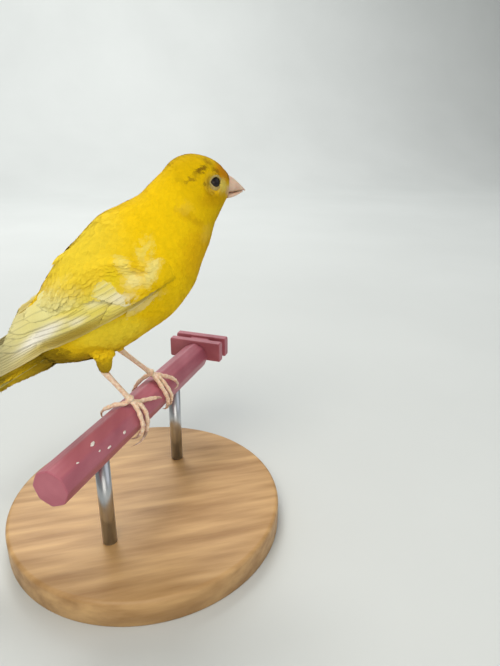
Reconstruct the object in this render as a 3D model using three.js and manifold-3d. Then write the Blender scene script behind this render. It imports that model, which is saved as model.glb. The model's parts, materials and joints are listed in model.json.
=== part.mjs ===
// Canary on a cut length of perch, held by a display stand.
// Millimetres. The bird heads +X, +Y is its left side, +Z is up.
// The origin is the centre of the stand's underside.
import * as THREE from "three";
import { mergeVertices } from "three/addons/utils/BufferGeometryUtils.js";
import Module from "manifold-3d";

const wasm = await Module();
wasm.setup();

// Fit between neighbouring pieces
const GAP = 0.3;
const SHORTEST_EDGE = 0.03;

// Perch
const PERCH_HEIGHT = 50; // axis above the ground
const PERCH_TURN = 57; // degrees from the bird's heading
const PERCH_RADIUS = 6;
const PERCH_FLUTE = 0.28; // depth of the flat between two ridges
const PERCH_RIDGES = 8;
const PERCH_NEAR = -52; // cut end
const PERCH_FAR = 49; // shoulder of the cross plates
const PLATE_LENGTH = 24;
const PLATE_DEPTH = 3.6;
const PLATE_LOW = -1.6;
const PLATE_HIGH = 7.2;
const PLATE_SLOT = 3.4;

// Stand
const BASE_RADIUS = 52;
const BASE_THICKNESS = 10;
const BASE_EDGE = 1.5;
const ROD_RADIUS = 2.5;
const ROD_ALONG = 27;

// Body stations from the tail root to the base of the bill:
// back x, back z, belly x, belly z, half width
const STATIONS = [
  [-34.8, 37.8, -30.6, 23.4, 5.2],
  [-32.7, 41.4, -26.6, 21.2, 7.2],
  [-28.8, 46.8, -21.5, 20.9, 10.4],
  [-22.1, 55.8, -13.2, 21.9, 14.2],
  [-14.9, 64.0, -4.6, 25.0, 16.4],
  [-7.7, 70.3, 4.8, 30.5, 17.0],
  [-0.7, 73.8, 13.8, 37.0, 16.4],
  [4.6, 76.7, 20.5, 45.6, 14.6],
  [8.6, 80.4, 24.0, 53.8, 12.3],
  [12.3, 83.8, 26.8, 60.2, 10.0],
  [16.2, 87.0, 28.5, 65.2, 8.6],
  [21.2, 88.3, 30.1, 68.4, 8.0],
  [26.3, 87.5, 31.3, 70.8, 7.3],
  [30.3, 85.6, 32.5, 72.5, 5.9],
  [33.6, 82.5, 33.4, 74.0, 3.9],
];
const BODY_BULGE = 2.15; // exponent of the round cross section
const NECK_FROM = 7.3; // station where the torso ends
const NECK_TO = 9.6; // station where the head begins
const HEAD_YAW = 10; // degrees to the bird's left
const YAW_FROM = 7;
const YAW_TO = 11;
const YAW_PIVOT = 14;

// Eyes
const EYE_RADIUS = 2.4;
const EYE_X = 27.0;
const EYE_Z = 79.6;
const EYE_OUT = 5.0;
const EYE_TOE_IN = 14; // degrees towards the bill
const LID_RADIUS = 2.3;
const LID_THICKNESS = 0.45;
const LID_LIFT = 2.0;

// Bill: x, top z, bottom z, half width, from base to tip
const UPPER_BILL = [
  [33.9, 81.4, 75.9, 3.3],
  [35.2, 80.9, 75.9, 2.95],
  [36.9, 79.8, 76.1, 2.3],
  [38.6, 78.4, 76.4, 1.5],
  [39.9, 77.2, 76.5, 0.75],
  [40.7, 76.5, 76.1, 0.25],
];
const LOWER_BILL = [
  [33.9, 75.5, 73.9, 2.9],
  [35.2, 75.5, 74.1, 2.6],
  [36.9, 75.7, 74.6, 2.0],
  [38.6, 76.0, 75.3, 1.15],
  [39.7, 76.1, 75.75, 0.4],
];
const NOSTRIL = [35.3, 79.4, 2.15, 0.42]; // x, z, out, radius

// Folded wing, measured from the wrist along the feathers
const WRIST_X = 8.5;
const WRIST_Z = 54;
const WING_PITCH = 29.5; // degrees below the horizon
const WING_LENGTH = 75;
const WING_LOW = [-3.2, -4.6, -4.7, -3.8, -2.9, -2.5, -2.5, -2.2];
const WING_HIGH = [4.0, 12.2, 14.0, 11.6, 8.9, 7.4, 4.4, -1.0];
const CORE_REACH = 63;
const PRIMARIES = 8;
const SECONDARIES = 5;
const TERTIALS = 3;
const ALULA = 2;
const PRIMARY_COVERTS = 4;
const GREATER_COVERTS = 7;
const MEDIAN_COVERTS = 6;
const VANE_SHAPE = [[0, 0.6], [0.5, 1], [0.9, 0.8], [1, 0.16]]; // along, width
const COVERT_SHAPE = [[0, 0.7], [0.6, 1], [0.9, 0.75], [1, 0.2]];
const VANE_THICKNESS = 0.5;
const RACHIS = 0.1;
const WING_REST_LOW = [0, 0, 0, 2.0, 6.4, 7.0, 5.8, 4.9];
const WING_REST_HIGH = [0, 0, 0, 4.2, 4.6, 2.6, 2.9, 4.1];

// Tail
const TAIL_X = -27;
const TAIL_Z = 27.8;
const TAIL_PITCH = 31.4;
const TAIL_LENGTH = 55.5;
const TAIL_FORK = 3.2;
const TAIL_CORE = 40;
const TAIL_PAIRS = 6;

// Legs: ankle and foot of each side, then the polar path of each toe
const TARSUS_RADIUS = 1.05;
const TOE_RADIUS = 0.82;
const TOE_ORBIT = PERCH_RADIUS + GAP + TOE_RADIUS - 0.06;
const FEET = {
  right: {
    thigh: [-11.4, -8.6, 27.0],
    ankle: [-11.2, -9.0, 18.6],
    hub: [-10.5, 18, 8.2],
    hind: [[-12.4, 7, 7.3], [-13.5, -16, 7.1], [-14.0, -38, 7.15], [-14.2, -52, 7.75]],
    hindClaw: [[-14.3, -65, 8.0], [-14.0, -77, 7.7], [-13.6, -89, 7.0]],
    inner: [[-8.6, 30, 7.5], [-5.4, 38, 7.15], [-2.2, 48, 7.15], [0.6, 57, 7.2]],
    innerClaw: [[2.0, 62, 7.4], [3.2, 68, 7.3], [4.0, 75, 6.7]],
    middle: [[-11.0, 40, 7.4], [-11.7, 62, 7.2], [-11.7, 88, 7.15], [-11.4, 112, 7.2], [-11.3, 130, 7.2]],
    middleClaw: [[-11.6, 142, 7.35], [-12.2, 152, 7.15], [-12.7, 161, 6.7]],
    outer: [[-8.6, 44, 7.4], [-8.3, 68, 7.2], [-8.3, 94, 7.2], [-8.2, 116, 7.5], [-8.6, 126, 8.1]],
    outerClaw: [[-10.2, 134, 8.9], [-12.4, 143, 9.3], [-14.6, 158, 8.9]],
  },
  left: {
    thigh: [-9.6, 8.6, 27.0],
    ankle: [-5.4, 9.0, 18.8],
    hub: [10.4, -4, 8.2],
    hind: [[9.8, -24, 7.5], [8.6, -48, 7.2], [7.4, -68, 7.2]],
    hindClaw: [[6.6, -82, 7.4], [5.8, -97, 7.3], [5.2, -109, 6.7]],
    inner: [[8.8, 16, 7.5], [7.2, 42, 7.2], [7.1, 70, 7.15], [7.8, 94, 7.15], [8.2, 110, 7.2]],
    innerClaw: [[8.5, 124, 7.4], [9.2, 138, 7.2], [9.8, 150, 6.7]],
    middle: [[10.4, 20, 7.4], [9.8, 42, 7.2], [9.9, 64, 7.15], [10.6, 88, 7.2], [11.0, 108, 7.2]],
    middleClaw: [[11.3, 122, 7.4], [11.7, 136, 7.2], [11.9, 148, 6.7]],
    outer: [[12.0, 14, 7.5], [13.7, 30, 7.2], [15.6, 47, 7.15], [16.7, 62, 7.2]],
    outerClaw: [[16.6, 73, 7.5], [15.3, 78, 7.5], [13.6, 80, 6.9]],
  },
};
const TOES = ["hind", "inner", "middle", "outer"];
const CLAW_RADIUS = 0.5;
const CLAW_TAPER = [1.25, 1.15, 0.85, 0.5, 0.14];

const UP = new THREE.Vector3(0, 0, 1);
const LEFT = new THREE.Vector3(0, 1, 0);
const turn = THREE.MathUtils.degToRad(PERCH_TURN);
const ALONG = new THREE.Vector3(Math.cos(turn), Math.sin(turn), 0);
const ASIDE = new THREE.Vector3(Math.sin(turn), -Math.cos(turn), 0);

const { lerp, clamp, smoothstep, degToRad } = THREE.MathUtils;
const at = (x, y, z) => new THREE.Vector3(x, y, z);

// Solids

// A closed solid from corner points and triangles, turned the right way out.
function solid(points, triangles) {
  const build = (flip) =>
    new wasm.Manifold(
      new wasm.Mesh({
        numProp: 3,
        vertProperties: new Float32Array(points.flatMap((p) => [p.x, p.y, p.z])),
        triVerts: new Uint32Array(triangles.flatMap(([a, b, c]) => (flip ? [a, c, b] : [a, b, c]))),
      }),
    );
  const made = build(false);
  return made.volume() > 0 ? made : build(true);
}

// A three.js geometry as a solid.
function fromGeometry(geometry) {
  const bare = geometry.clone();
  bare.deleteAttribute("normal");
  bare.deleteAttribute("uv");
  const merged = mergeVertices(bare, 1e-5);
  return new wasm.Manifold(
    new wasm.Mesh({
      numProp: 3,
      vertProperties: new Float32Array(merged.attributes.position.array),
      triVerts: new Uint32Array(merged.index.array),
    }),
  );
}

// A skin stretched over rings of points, closed by a fan at each end.
function loft(rings) {
  const count = rings[0].length;
  const points = rings.flat();
  const triangles = [];
  for (let i = 0; i + 1 < rings.length; i++) {
    for (let k = 0; k < count; k++) {
      const a = i * count + k;
      const b = i * count + ((k + 1) % count);
      triangles.push([a, b, b + count], [a, b + count, a + count]);
    }
  }
  for (const [ring, start] of [[rings[0], 0], [rings.at(-1), (rings.length - 1) * count]]) {
    const middle = ring.reduce((sum, p) => sum.add(p), at(0, 0, 0)).divideScalar(count);
    const hub = points.push(middle) - 1;
    for (let k = 0; k < count; k++) {
      const a = start + k;
      const b = start + ((k + 1) % count);
      triangles.push(start ? [a, b, hub] : [b, a, hub]);
    }
  }
  return solid(points, triangles);
}

// A thin piece between an upper and a lower sheet of points of the same layout.
function slab(upper, lower) {
  const rows = upper.length;
  const columns = upper[0].length;
  const index = (i, j) => i * columns + j;
  const shift = rows * columns;
  const triangles = [];
  for (let i = 0; i + 1 < rows; i++) {
    for (let j = 0; j + 1 < columns; j++) {
      const [a, b, c, d] = [index(i, j), index(i, j + 1), index(i + 1, j + 1), index(i + 1, j)];
      triangles.push([a, b, c], [a, c, d]);
      triangles.push([a + shift, c + shift, b + shift], [a + shift, d + shift, c + shift]);
    }
  }
  const rim = [];
  for (let j = 0; j + 1 < columns; j++) rim.push(index(0, j));
  for (let i = 0; i + 1 < rows; i++) rim.push(index(i, columns - 1));
  for (let j = columns - 1; j > 0; j--) rim.push(index(rows - 1, j));
  for (let i = rows - 1; i > 0; i--) rim.push(index(i, 0));
  rim.forEach((a, k) => {
    const b = rim[(k + 1) % rim.length];
    triangles.push([b, a, a + shift], [b, a + shift, b + shift]);
  });
  return solid([...upper.flat(), ...lower.flat()], triangles);
}

// A bar of round section along a smooth path, with one radius for each ring.
function bar(path, radii, sides, flatten = 1) {
  const curve = new THREE.CatmullRomCurve3(path);
  const rings = [];
  let across = null;
  radii.forEach((radius, i) => {
    const t = i / (radii.length - 1);
    const centre = curve.getPoint(t);
    const heading = curve.getTangent(t).normalize();
    if (!across) across = at(0, 0, 1).cross(heading).lengthSq() > 0.02 ? at(0, 0, 1) : at(0, 1, 0);
    across = across.clone().addScaledVector(heading, -across.dot(heading)).normalize();
    const other = heading.clone().cross(across);
    const ring = [];
    for (let k = 0; k < sides; k++) {
      const angle = (2 * Math.PI * k) / sides;
      ring.push(
        centre
          .clone()
          .addScaledVector(across, radius * flatten * Math.cos(angle))
          .addScaledVector(other, radius * Math.sin(angle)),
      );
    }
    rings.push(ring);
  });
  return loft(rings);
}

const ball = (centre, radius, wide = 16, high = 12) =>
  fromGeometry(new THREE.SphereGeometry(radius, wide, high).translate(centre.x, centre.y, centre.z));

const join = (solids) => solids.reduce((all, next) => all.add(next));

// The largest closed surface of a solid, without loose scraps or edges too short to keep.
function largest(made) {
  const bulk = (solid) => solid.decompose().sort((a, b) => b.volume() - a.volume())[0];
  return bulk(bulk(made).simplify(SHORTEST_EDGE));
}

// Body

const stationCurve = (pick) =>
  new THREE.CatmullRomCurve3(STATIONS.map(pick), false, "catmullrom", 0.5);
const backCurve = stationCurve((s) => at(s[0], 0, s[1]));
const bellyCurve = stationCurve((s) => at(s[2], 0, s[3]));
const widthCurve = stationCurve((s) => at(s[4], 0, 0));
const LAST = STATIONS.length - 1;

// A point of the head carried round by the turn of the neck.
function yawed(point, station) {
  const angle = degToRad(HEAD_YAW) * smoothstep(station, YAW_FROM, YAW_TO);
  const dx = point.x - YAW_PIVOT;
  return at(
    YAW_PIVOT + dx * Math.cos(angle) - point.y * Math.sin(angle),
    dx * Math.sin(angle) + point.y * Math.cos(angle),
    point.z,
  );
}

// The middle, axis, half height and half width of the cross section at a station.
function section(station) {
  const t = clamp(station / LAST, 0, 1);
  const back = backCurve.getPoint(t);
  const belly = bellyCurve.getPoint(t);
  const middle = back.clone().add(belly).multiplyScalar(0.5);
  const half = back.distanceTo(belly) / 2;
  const axis = back.clone().sub(belly).normalize();
  return { middle, axis, half, width: widthCurve.getPoint(t).x };
}

const bulge = (value) => Math.sign(value) * Math.abs(value) ** (2 / BODY_BULGE);

// One ring of body skin, grown outwards by `grow` and scaled by `scale`.
function bodyRing(station, sides, grow = 0, scale = 1) {
  const { middle, axis, half, width } = section(station);
  const ring = [];
  for (let k = 0; k < sides; k++) {
    const angle = (2 * Math.PI * k) / sides;
    const point = middle
      .clone()
      .addScaledVector(axis, (half * scale + grow) * bulge(Math.cos(angle)))
      .addScaledVector(LEFT, (width * scale + grow) * bulge(Math.sin(angle)));
    ring.push(yawed(point, station));
  }
  return ring;
}

// The body between two stations.
function bodyPiece(from, to, steps, sides, grow = 0, domed = false) {
  const rings = [];
  if (domed) {
    const { axis } = section(from);
    const out = at(-axis.z, 0, axis.x).normalize();
    for (const [scale, back] of [[0.5, 1.0], [0.82, 0.6]]) {
      rings.push(bodyRing(from, sides, grow, scale).map((p) => p.addScaledVector(out, back + grow)));
    }
  }
  for (let i = 0; i <= steps; i++) rings.push(bodyRing(lerp(from, to, i / steps), sides, grow));
  return loft(rings);
}

// Half width of the torso abeam of a point of the middle plane.
function flank(x, z) {
  const side = (station) => {
    const { middle, axis } = section(station);
    return axis.x * (z - middle.z) - axis.z * (x - middle.x);
  };
  let low = 0;
  let high = 10;
  if (side(low) > 0) return 0;
  for (let i = 0; i < 30; i++) {
    const half = (low + high) / 2;
    if (side(half) > 0) high = half;
    else low = half;
  }
  const { middle, axis, half, width } = section(low);
  const share = Math.abs((x - middle.x) * axis.x + (z - middle.z) * axis.z) / half;
  return share >= 1 ? 0 : width * (1 - share ** BODY_BULGE) ** (1 / BODY_BULGE);
}

const torso = bodyPiece(0, NECK_FROM, 16, 26, 0, true);
const torsoRoom = bodyPiece(0, NECK_FROM + 0.3, 16, 26, GAP, true);
const neck = bodyPiece(NECK_FROM + 0.06, NECK_TO - 0.06, 5, 26);

// Head, with lids round the eyes and the corners of the mouth

const headPoint = (x, y, z) => yawed(at(x, y, z), LAST);
const eyeSide = { right: -1, left: 1 };

function eyeCentre(side) {
  return headPoint(EYE_X, eyeSide[side] * EYE_OUT, EYE_Z);
}

function eyeAxis(side) {
  const toe = degToRad(EYE_TOE_IN);
  const tip = headPoint(EYE_X + Math.sin(toe), eyeSide[side] * (EYE_OUT + Math.cos(toe)), EYE_Z);
  return tip.sub(eyeCentre(side)).normalize();
}

function lid(side) {
  const ring = new THREE.TorusGeometry(LID_RADIUS, LID_THICKNESS, 5, 16);
  ring.applyQuaternion(new THREE.Quaternion().setFromUnitVectors(UP, eyeAxis(side)));
  const middle = eyeCentre(side).addScaledVector(eyeAxis(side), LID_LIFT);
  return fromGeometry(ring.translate(middle.x, middle.y, middle.z));
}

function mouthCorner() {
  const cut = new THREE.BoxGeometry(3, 20, 0.5).rotateY(degToRad(-6));
  return fromGeometry(cut.translate(0, 0, 0));
}

let head = bodyPiece(NECK_TO, LAST, 14, 26);
for (const side of ["right", "left"]) head = head.add(lid(side));
for (const side of ["right", "left"]) head = head.subtract(ball(eyeCentre(side), EYE_RADIUS + GAP, 14, 8));
{
  const middle = headPoint(33.2, 0, 75.65);
  head = head.subtract(mouthCorner().translate([middle.x, middle.y, middle.z]));
}

function billPiece(table, sides) {
  const rings = table.map(([x, top, bottom, width]) => {
    const ring = [];
    for (let k = 0; k < sides; k++) {
      const angle = (2 * Math.PI * k) / sides;
      const z = (top + bottom) / 2 + ((top - bottom) / 2) * Math.cos(angle);
      ring.push(headPoint(x, width * Math.sin(angle), z));
    }
    return ring;
  });
  return loft(rings);
}

let billUpper = billPiece(UPPER_BILL, 14);
for (const side of [-1, 1]) {
  const [x, z, out, radius] = NOSTRIL;
  billUpper = billUpper.subtract(ball(headPoint(x, side * out, z), radius, 8, 6));
}
const billLower = billPiece(LOWER_BILL, 12);

// Wing

const wingTurn = degToRad(WING_PITCH);
const WING_OUT = at(-Math.cos(wingTurn), 0, -Math.sin(wingTurn));
const WING_RISE = at(-Math.sin(wingTurn), 0, Math.cos(wingTurn));
const profile = (values, p) => {
  const place = clamp(p / WING_LENGTH, 0, 1) * (values.length - 1);
  const i = Math.min(Math.floor(place), values.length - 2);
  const before = values[Math.max(i - 1, 0)];
  const after = values[Math.min(i + 2, values.length - 1)];
  const f = place - i;
  const [a, b] = [values[i], values[i + 1]];
  const smooth = 0.5 * (2 * a + (b - before) * f + (2 * before - 5 * a + 4 * b - after) * f * f
    + (3 * a - before - 3 * b + after) * f * f * f);
  return smooth;
};

// How far the wing's inner face lies from the middle plane.
function wingRest(p, share, x, z) {
  const free = lerp(profile(WING_REST_LOW, p), profile(WING_REST_HIGH, p), clamp(share, 0, 1));
  const body = flank(x, z) + GAP;
  const soft = 1.2;
  const mix = clamp(0.5 + (body - free) / (2 * soft), 0, 1);
  return Math.max(0.6, lerp(free, body, mix) + soft * mix * (1 - mix) * 0.5);
}

// A point over the right wing: along the feathers, across them, height over the inner face.
function wingPoint(p, q, height) {
  const low = profile(WING_LOW, p);
  const share = (q - low) / Math.max(2, profile(WING_HIGH, p) - low);
  const place = at(WRIST_X, 0, WRIST_Z).addScaledVector(WING_OUT, p).addScaledVector(WING_RISE, q);
  return place.setY(-(wingRest(p, share, place.x, place.z) + height));
}

// Thickness of the folded wing's bulk under its outermost feathers.
function wingDepth(p, share) {
  const along = lerp(1.7, 0.55, smoothstep(p, 8, 60));
  const edge = Math.sqrt(Math.max(0, 1 - (2 * clamp(share, 0, 1) - 1) ** 4));
  return lerp(0.45, along, edge);
}

function wingCore() {
  const outer = [];
  const inner = [];
  for (let i = 0; i <= 12; i++) {
    const p = lerp(-3.5, CORE_REACH, i / 12);
    const spread = lerp(0.35, 0.94, smoothstep(p, -4.5, 3)) * lerp(1, 0.5, smoothstep(p, 50, CORE_REACH));
    const [low, high] = [profile(WING_LOW, p), profile(WING_HIGH, p)];
    outer.push([]);
    inner.push([]);
    for (let j = 0; j <= 4; j++) {
      const share = 0.5 + (j / 4 - 0.5) * spread;
      const q = lerp(low, high, share);
      outer[i].push(wingPoint(p, q, wingDepth(p, share)));
      inner[i].push(wingPoint(p, q, 0));
    }
  }
  return slab(outer, inner);
}

// One feather from root to tip, a thin vane whose lower edge lies over the next feather down.
// `place` maps along, across and height to space; `floor` gives the height its underside reaches.
function feather(place, floor, { root, tip, half, lift, tilt, covert = false }) {
  const upper = [];
  const lower = [];
  for (const [share, width] of covert ? COVERT_SHAPE : VANE_SHAPE) {
    const along = lerp(root[0], tip[0], share);
    const across = lerp(root[1], tip[1], share);
    const rise = lerp(-0.15, lift, Math.min(1, share * 2.2));
    upper.push([]);
    lower.push([]);
    for (const edge of covert ? [-1, 1] : [-1, 0, 1]) {
      const back = edge === 0 ? 0 : (tip[0] - root[0]) * 0.02 * (share > 0.9 ? 1 : 0);
      const q = across + edge * half * width;
      const height = rise - edge * tilt * width + (edge === 0 ? RACHIS : 0);
      const base = floor(along, q);
      upper.at(-1).push(place(along - back, q, base.top + height));
      lower.at(-1).push(place(along - back, q, Math.min(base.top + height - VANE_THICKNESS, base.low)));
    }
  }
  return slab(upper, lower);
}

// The feathers of a folded wing, tier by tier, from the longest to the smallest.
function wingFeathers() {
  const fan = (count, make) => Array.from({ length: count }, (_, i) => make(i));
  return [
    ...fan(PRIMARIES, (i) => ({
      root: [9 + 0.6 * i, -2.9 + 0.6 * i], tip: [WING_LENGTH - 0.28 * (i - 1.1) ** 2, -2.1 + 0.72 * i],
      half: 1.9, lift: 0.2 + 0.06 * i, tilt: 0.16,
    })),
    ...fan(SECONDARIES, (i) => ({
      root: [14 + i, 0.6 + 1.4 * i], tip: [59 - 2.3 * i, 2.8 + 1.35 * i], half: 2.6, lift: 0.7 + 0.05 * i, tilt: 0.2,
    })),
    ...fan(TERTIALS, (i) => ({
      root: [18 + i, 6.4 + 1.9 * i], tip: [52 - 6.5 * i, 6.2 + 1.7 * i], half: 3.0, lift: 0.95 + 0.1 * i, tilt: 0.22,
    })),
    ...fan(ALULA, (i) => ({
      root: [0.5 + i, -2.6 + 0.5 * i], tip: [15.5 - 3 * i, -4.0 + 0.8 * i], half: 1.0, lift: 0.5 + 0.1 * i, tilt: 0.12, covert: true,
    })),
    ...fan(PRIMARY_COVERTS, (i) => ({
      root: [4 + i, -2.8 + 0.7 * i], tip: [25 - 1.5 * i, -3.2 + 0.85 * i], half: 1.2, lift: 0.55 + 0.08 * i, tilt: 0.14, covert: true,
    })),
    ...fan(GREATER_COVERTS, (i) => ({
      root: [3 + 1.1 * i, -0.6 + 1.75 * i], tip: [16 + 1.5 * i, -1.2 + 1.75 * i], half: 1.9, lift: 1.2, tilt: 0.2, covert: true,
    })),
    ...fan(MEDIAN_COVERTS, (i) => ({
      root: [0.2 + i, 0.4 + 1.9 * i], tip: [9.5 + 1.35 * i, 0.6 + 1.9 * i], half: 1.8, lift: 1.45, tilt: 0.18, covert: true,
    })),
  ];
}

function foldedWing() {
  const floor = (p, q) => {
    const low = profile(WING_LOW, p);
    const share = (q - low) / Math.max(2, profile(WING_HIGH, p) - low);
    const top = wingDepth(p, share);
    return { top, low: p < CORE_REACH - 8 && share > 0.08 && share < 0.92 ? top * 0.5 : 9 };
  };
  const vanes = wingFeathers().map((one) => feather(wingPoint, floor, one));
  return largest(join([wingCore(), ...vanes]).subtract(torsoRoom));
}

const mirrored = (made) => made.mirror([0, 1, 0]);
const wingRight = foldedWing();
const wingLeft = mirrored(wingRight);

// Tail

const tailTurn = degToRad(TAIL_PITCH);
const TAIL_OUT = at(-Math.cos(tailTurn), 0, -Math.sin(tailTurn));
const TAIL_RISE = at(-Math.sin(tailTurn), 0, Math.cos(tailTurn));
const tailPoint = (p, y, height) =>
  at(TAIL_X, y, TAIL_Z).addScaledVector(TAIL_OUT, p).addScaledVector(TAIL_RISE, height);

function tailCore() {
  const rings = [];
  for (let i = 0; i <= 7; i++) {
    const p = lerp(-3, TAIL_CORE, i / 7);
    const width = lerp(4.6, 5.6, smoothstep(p, 0, 30));
    const over = lerp(4.8, 0.5, smoothstep(p, -2, 20));
    const under = lerp(6.2, 0.5, smoothstep(p, 0, 36));
    const ring = [];
    for (let k = 0; k < 16; k++) {
      const angle = (2 * Math.PI * k) / 16;
      const height = Math.cos(angle) > 0 ? over : under;
      ring.push(tailPoint(p, width * Math.sin(angle), height * Math.cos(angle)));
    }
    rings.push(ring);
  }
  return loft(rings);
}

// Six pairs of tail feathers, the middle pair on top, then the coverts above and below.
function tailFeathers() {
  const made = [];
  const flat = (level) => () => ({ top: level, low: 9 });
  for (let i = TAIL_PAIRS - 1; i >= 0; i--) {
    for (const side of [-1, 1]) {
      const notch = TAIL_FORK * (1 - i / (TAIL_PAIRS - 1)) ** 1.2;
      made.push(
        feather(tailPoint, flat(0.75 - 0.32 * i + 0.06 * side), {
          root: [3, side * (0.5 + 0.6 * i)], tip: [TAIL_LENGTH - notch, side * (1.7 + 0.98 * i)],
          half: 2.7 - 0.16 * i, lift: 0, tilt: -side * 0.12,
        }),
      );
    }
  }
  for (const side of [-1, -0.5, 0, 0.5, 1]) {
    const over = (p) => ({ top: lerp(4.2, 1.3, smoothstep(p, -2, 20)) - 0.9 * side ** 2, low: 0 });
    const under = (p) => ({ top: -lerp(3.6, 0.6, smoothstep(p, 4, 34)) + 0.8 * side ** 2, low: 9 });
    made.push(
      feather(tailPoint, over, {
        root: [0, side * 3], tip: [19 - 3 * Math.abs(side), side * 3.8], half: 1.9, lift: 0.3, tilt: 0, covert: true,
      }),
      feather(tailPoint, under, {
        root: [4, side * 3], tip: [30 - 5 * Math.abs(side), side * 3.8], half: 2.0, lift: -1.2, tilt: 0, covert: true,
      }),
    );
  }
  return made;
}

const tail = largest(join([tailCore(), ...tailFeathers()]).subtract(torsoRoom));

// Legs and feet

const orbit = ([along, angle, radius]) => {
  const a = degToRad(angle);
  return at(0, 0, 0)
    .addScaledVector(ALONG, along)
    .addScaledVector(UP, radius * Math.cos(a))
    .addScaledVector(ASIDE, radius * Math.sin(a));
};

function perchBar(grow) {
  const rings = [];
  for (const along of [PERCH_NEAR - grow, PERCH_FAR + grow]) {
    const ring = [];
    for (let k = 0; k < PERCH_RIDGES * 6; k++) {
      const angle = (2 * Math.PI * k) / (PERCH_RIDGES * 6);
      const ridge = Math.abs(Math.cos((PERCH_RIDGES * angle) / 2)) ** 4;
      const radius = PERCH_RADIUS - PERCH_FLUTE * (1 - ridge) + grow;
      ring.push(
        at(0, 0, 0)
          .addScaledVector(ALONG, along)
          .addScaledVector(UP, radius * Math.cos(angle))
          .addScaledVector(ASIDE, radius * Math.sin(angle)),
      );
    }
    rings.push(ring);
  }
  return loft(rings);
}

const perchRoom = perchBar(GAP);

function toe(hub, path) {
  const joints = path.length;
  const rings = Math.round(joints * 2.4);
  const radii = [];
  for (let i = 0; i <= rings; i++) {
    const share = i / rings;
    const pad = 0.1 * Math.cos(2 * Math.PI * share * (joints - 1));
    radii.push((TOE_RADIUS + pad) * lerp(1.08, 0.84, share) * (i === rings ? 0.72 : 1));
  }
  return bar([hub, ...path.map(orbit)], radii, 7);
}

function claw(toePath, path) {
  const from = orbit(toePath.at(-1));
  const to = orbit(path[0]);
  const start = from.clone().addScaledVector(to.clone().sub(from).normalize(), GAP + 0.12);
  return bar([start, ...path.map(orbit)], CLAW_TAPER.map((r) => r * CLAW_RADIUS), 6, 0.8);
}

function leg(name) {
  const plan = FEET[name];
  const ankle = at(...plan.ankle);
  const hub = orbit(plan.hub);
  const bone = hub.clone().sub(ankle);
  const foot = hub.clone().addScaledVector(bone.clone().normalize(), -1.1);
  const end = hub.clone().addScaledVector(bone.clone().normalize(), -1.1 - GAP - 1.2);
  const radii = [1.12, 1.14, 1.0, 1.04, 0.96, 1.0, 0.93, 0.98, 0.92, 0.98, 0.94, 1.02, 1.1];
  const shank = bar([ankle, ankle.clone().lerp(end, 0.5), end], radii.map((r) => r * TARSUS_RADIUS), 10);
  const shankRoom = bar([ankle.clone().addScaledVector(bone, -0.05), end], [1.6, 1.6], 10);
  const top = at(...plan.thigh);
  const low = ankle.clone().addScaledVector(bone, 0.04);
  const muscle = bar([top, top.clone().lerp(low, 0.5), low], [4.2, 4.3, 4.0, 3.5, 2.9, 2.4, 2.1, 1.75], 14);
  const toes = TOES.map((key) => toe(hub, plan[key]));
  const knuckle = bar([foot.clone().addScaledVector(bone.clone().normalize(), -1.2), hub], [1.15, 1.5, 1.6, 1.3], 10);
  return {
    thigh: largest(muscle.subtract(torsoRoom).subtract(shankRoom)),
    tarsus: shank,
    foot: largest(join([knuckle, ...toes]).subtract(perchRoom)),
    claws: Object.fromEntries(TOES.map((key) => [key, claw(plan[key], plan[`${key}Claw`]).subtract(perchRoom)])),
  };
}

const legs = { right: leg("right"), left: leg("left") };

// Perch and stand

function box(long, wide, tall, along, middleZ) {
  const geometry = new THREE.BoxGeometry(long, wide, tall).rotateZ(turn);
  const middle = at(0, 0, middleZ).addScaledVector(ALONG, along);
  return fromGeometry(geometry.translate(middle.x, middle.y, middle.z));
}

function perchSolid() {
  const tall = PLATE_HIGH - PLATE_LOW;
  const middle = (PLATE_HIGH + PLATE_LOW) / 2;
  const first = PERCH_FAR + PLATE_DEPTH / 2;
  const second = first + PLATE_DEPTH + PLATE_SLOT;
  return join([
    perchBar(0),
    box(PLATE_DEPTH, PLATE_LENGTH, tall, first - 0.01, middle),
    box(PLATE_DEPTH + PLATE_SLOT + 1, 9, tall - 2, (first + second) / 2, middle),
    box(PLATE_DEPTH, PLATE_LENGTH, tall, second, middle),
  ]);
}

function standBase() {
  const shape = [
    new THREE.Vector2(0, 0),
    new THREE.Vector2(BASE_RADIUS, 0),
    new THREE.Vector2(BASE_RADIUS, BASE_THICKNESS - BASE_EDGE),
    new THREE.Vector2(BASE_RADIUS - BASE_EDGE, BASE_THICKNESS),
    new THREE.Vector2(0, BASE_THICKNESS),
  ];
  return new THREE.LatheGeometry(shape, 48).rotateX(Math.PI / 2);
}

function standRod(along) {
  const bottom = BASE_THICKNESS + GAP - PERCH_HEIGHT;
  const rod = new THREE.CylinderGeometry(ROD_RADIUS, ROD_RADIUS, -bottom, 24).rotateX(Math.PI / 2);
  const place = at(0, 0, bottom / 2).addScaledVector(ALONG, along);
  return largest(fromGeometry(rod.translate(place.x, place.y, place.z)).subtract(perchRoom));
}

// Scene graph

const YELLOW = { color: 0xe8c51c, roughness: 0.85 };
const LOOKS = {
  plumage: YELLOW,
  head: { color: 0xd9ad14, roughness: 0.85 },
  wing: { color: 0xe6d98a, roughness: 0.75 },
  tail: { color: 0xe2d27c, roughness: 0.75 },
  bill: { color: 0xd9bba4, roughness: 0.45 },
  eye: { color: 0x120c08, roughness: 0.08 },
  leg: { color: 0xc79a72, roughness: 0.6 },
  claw: { color: 0xc4a288, roughness: 0.45 },
  perch: { color: 0xa85f6c, roughness: 0.5 },
  oak: { color: 0xb98f5e, roughness: 0.6 },
  steel: { color: 0xb8babd, roughness: 0.35, metalness: 1 },
};

const canary = new THREE.Group();
const raised = new THREE.Group();
raised.position.z = PERCH_HEIGHT;
canary.add(raised);

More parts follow.
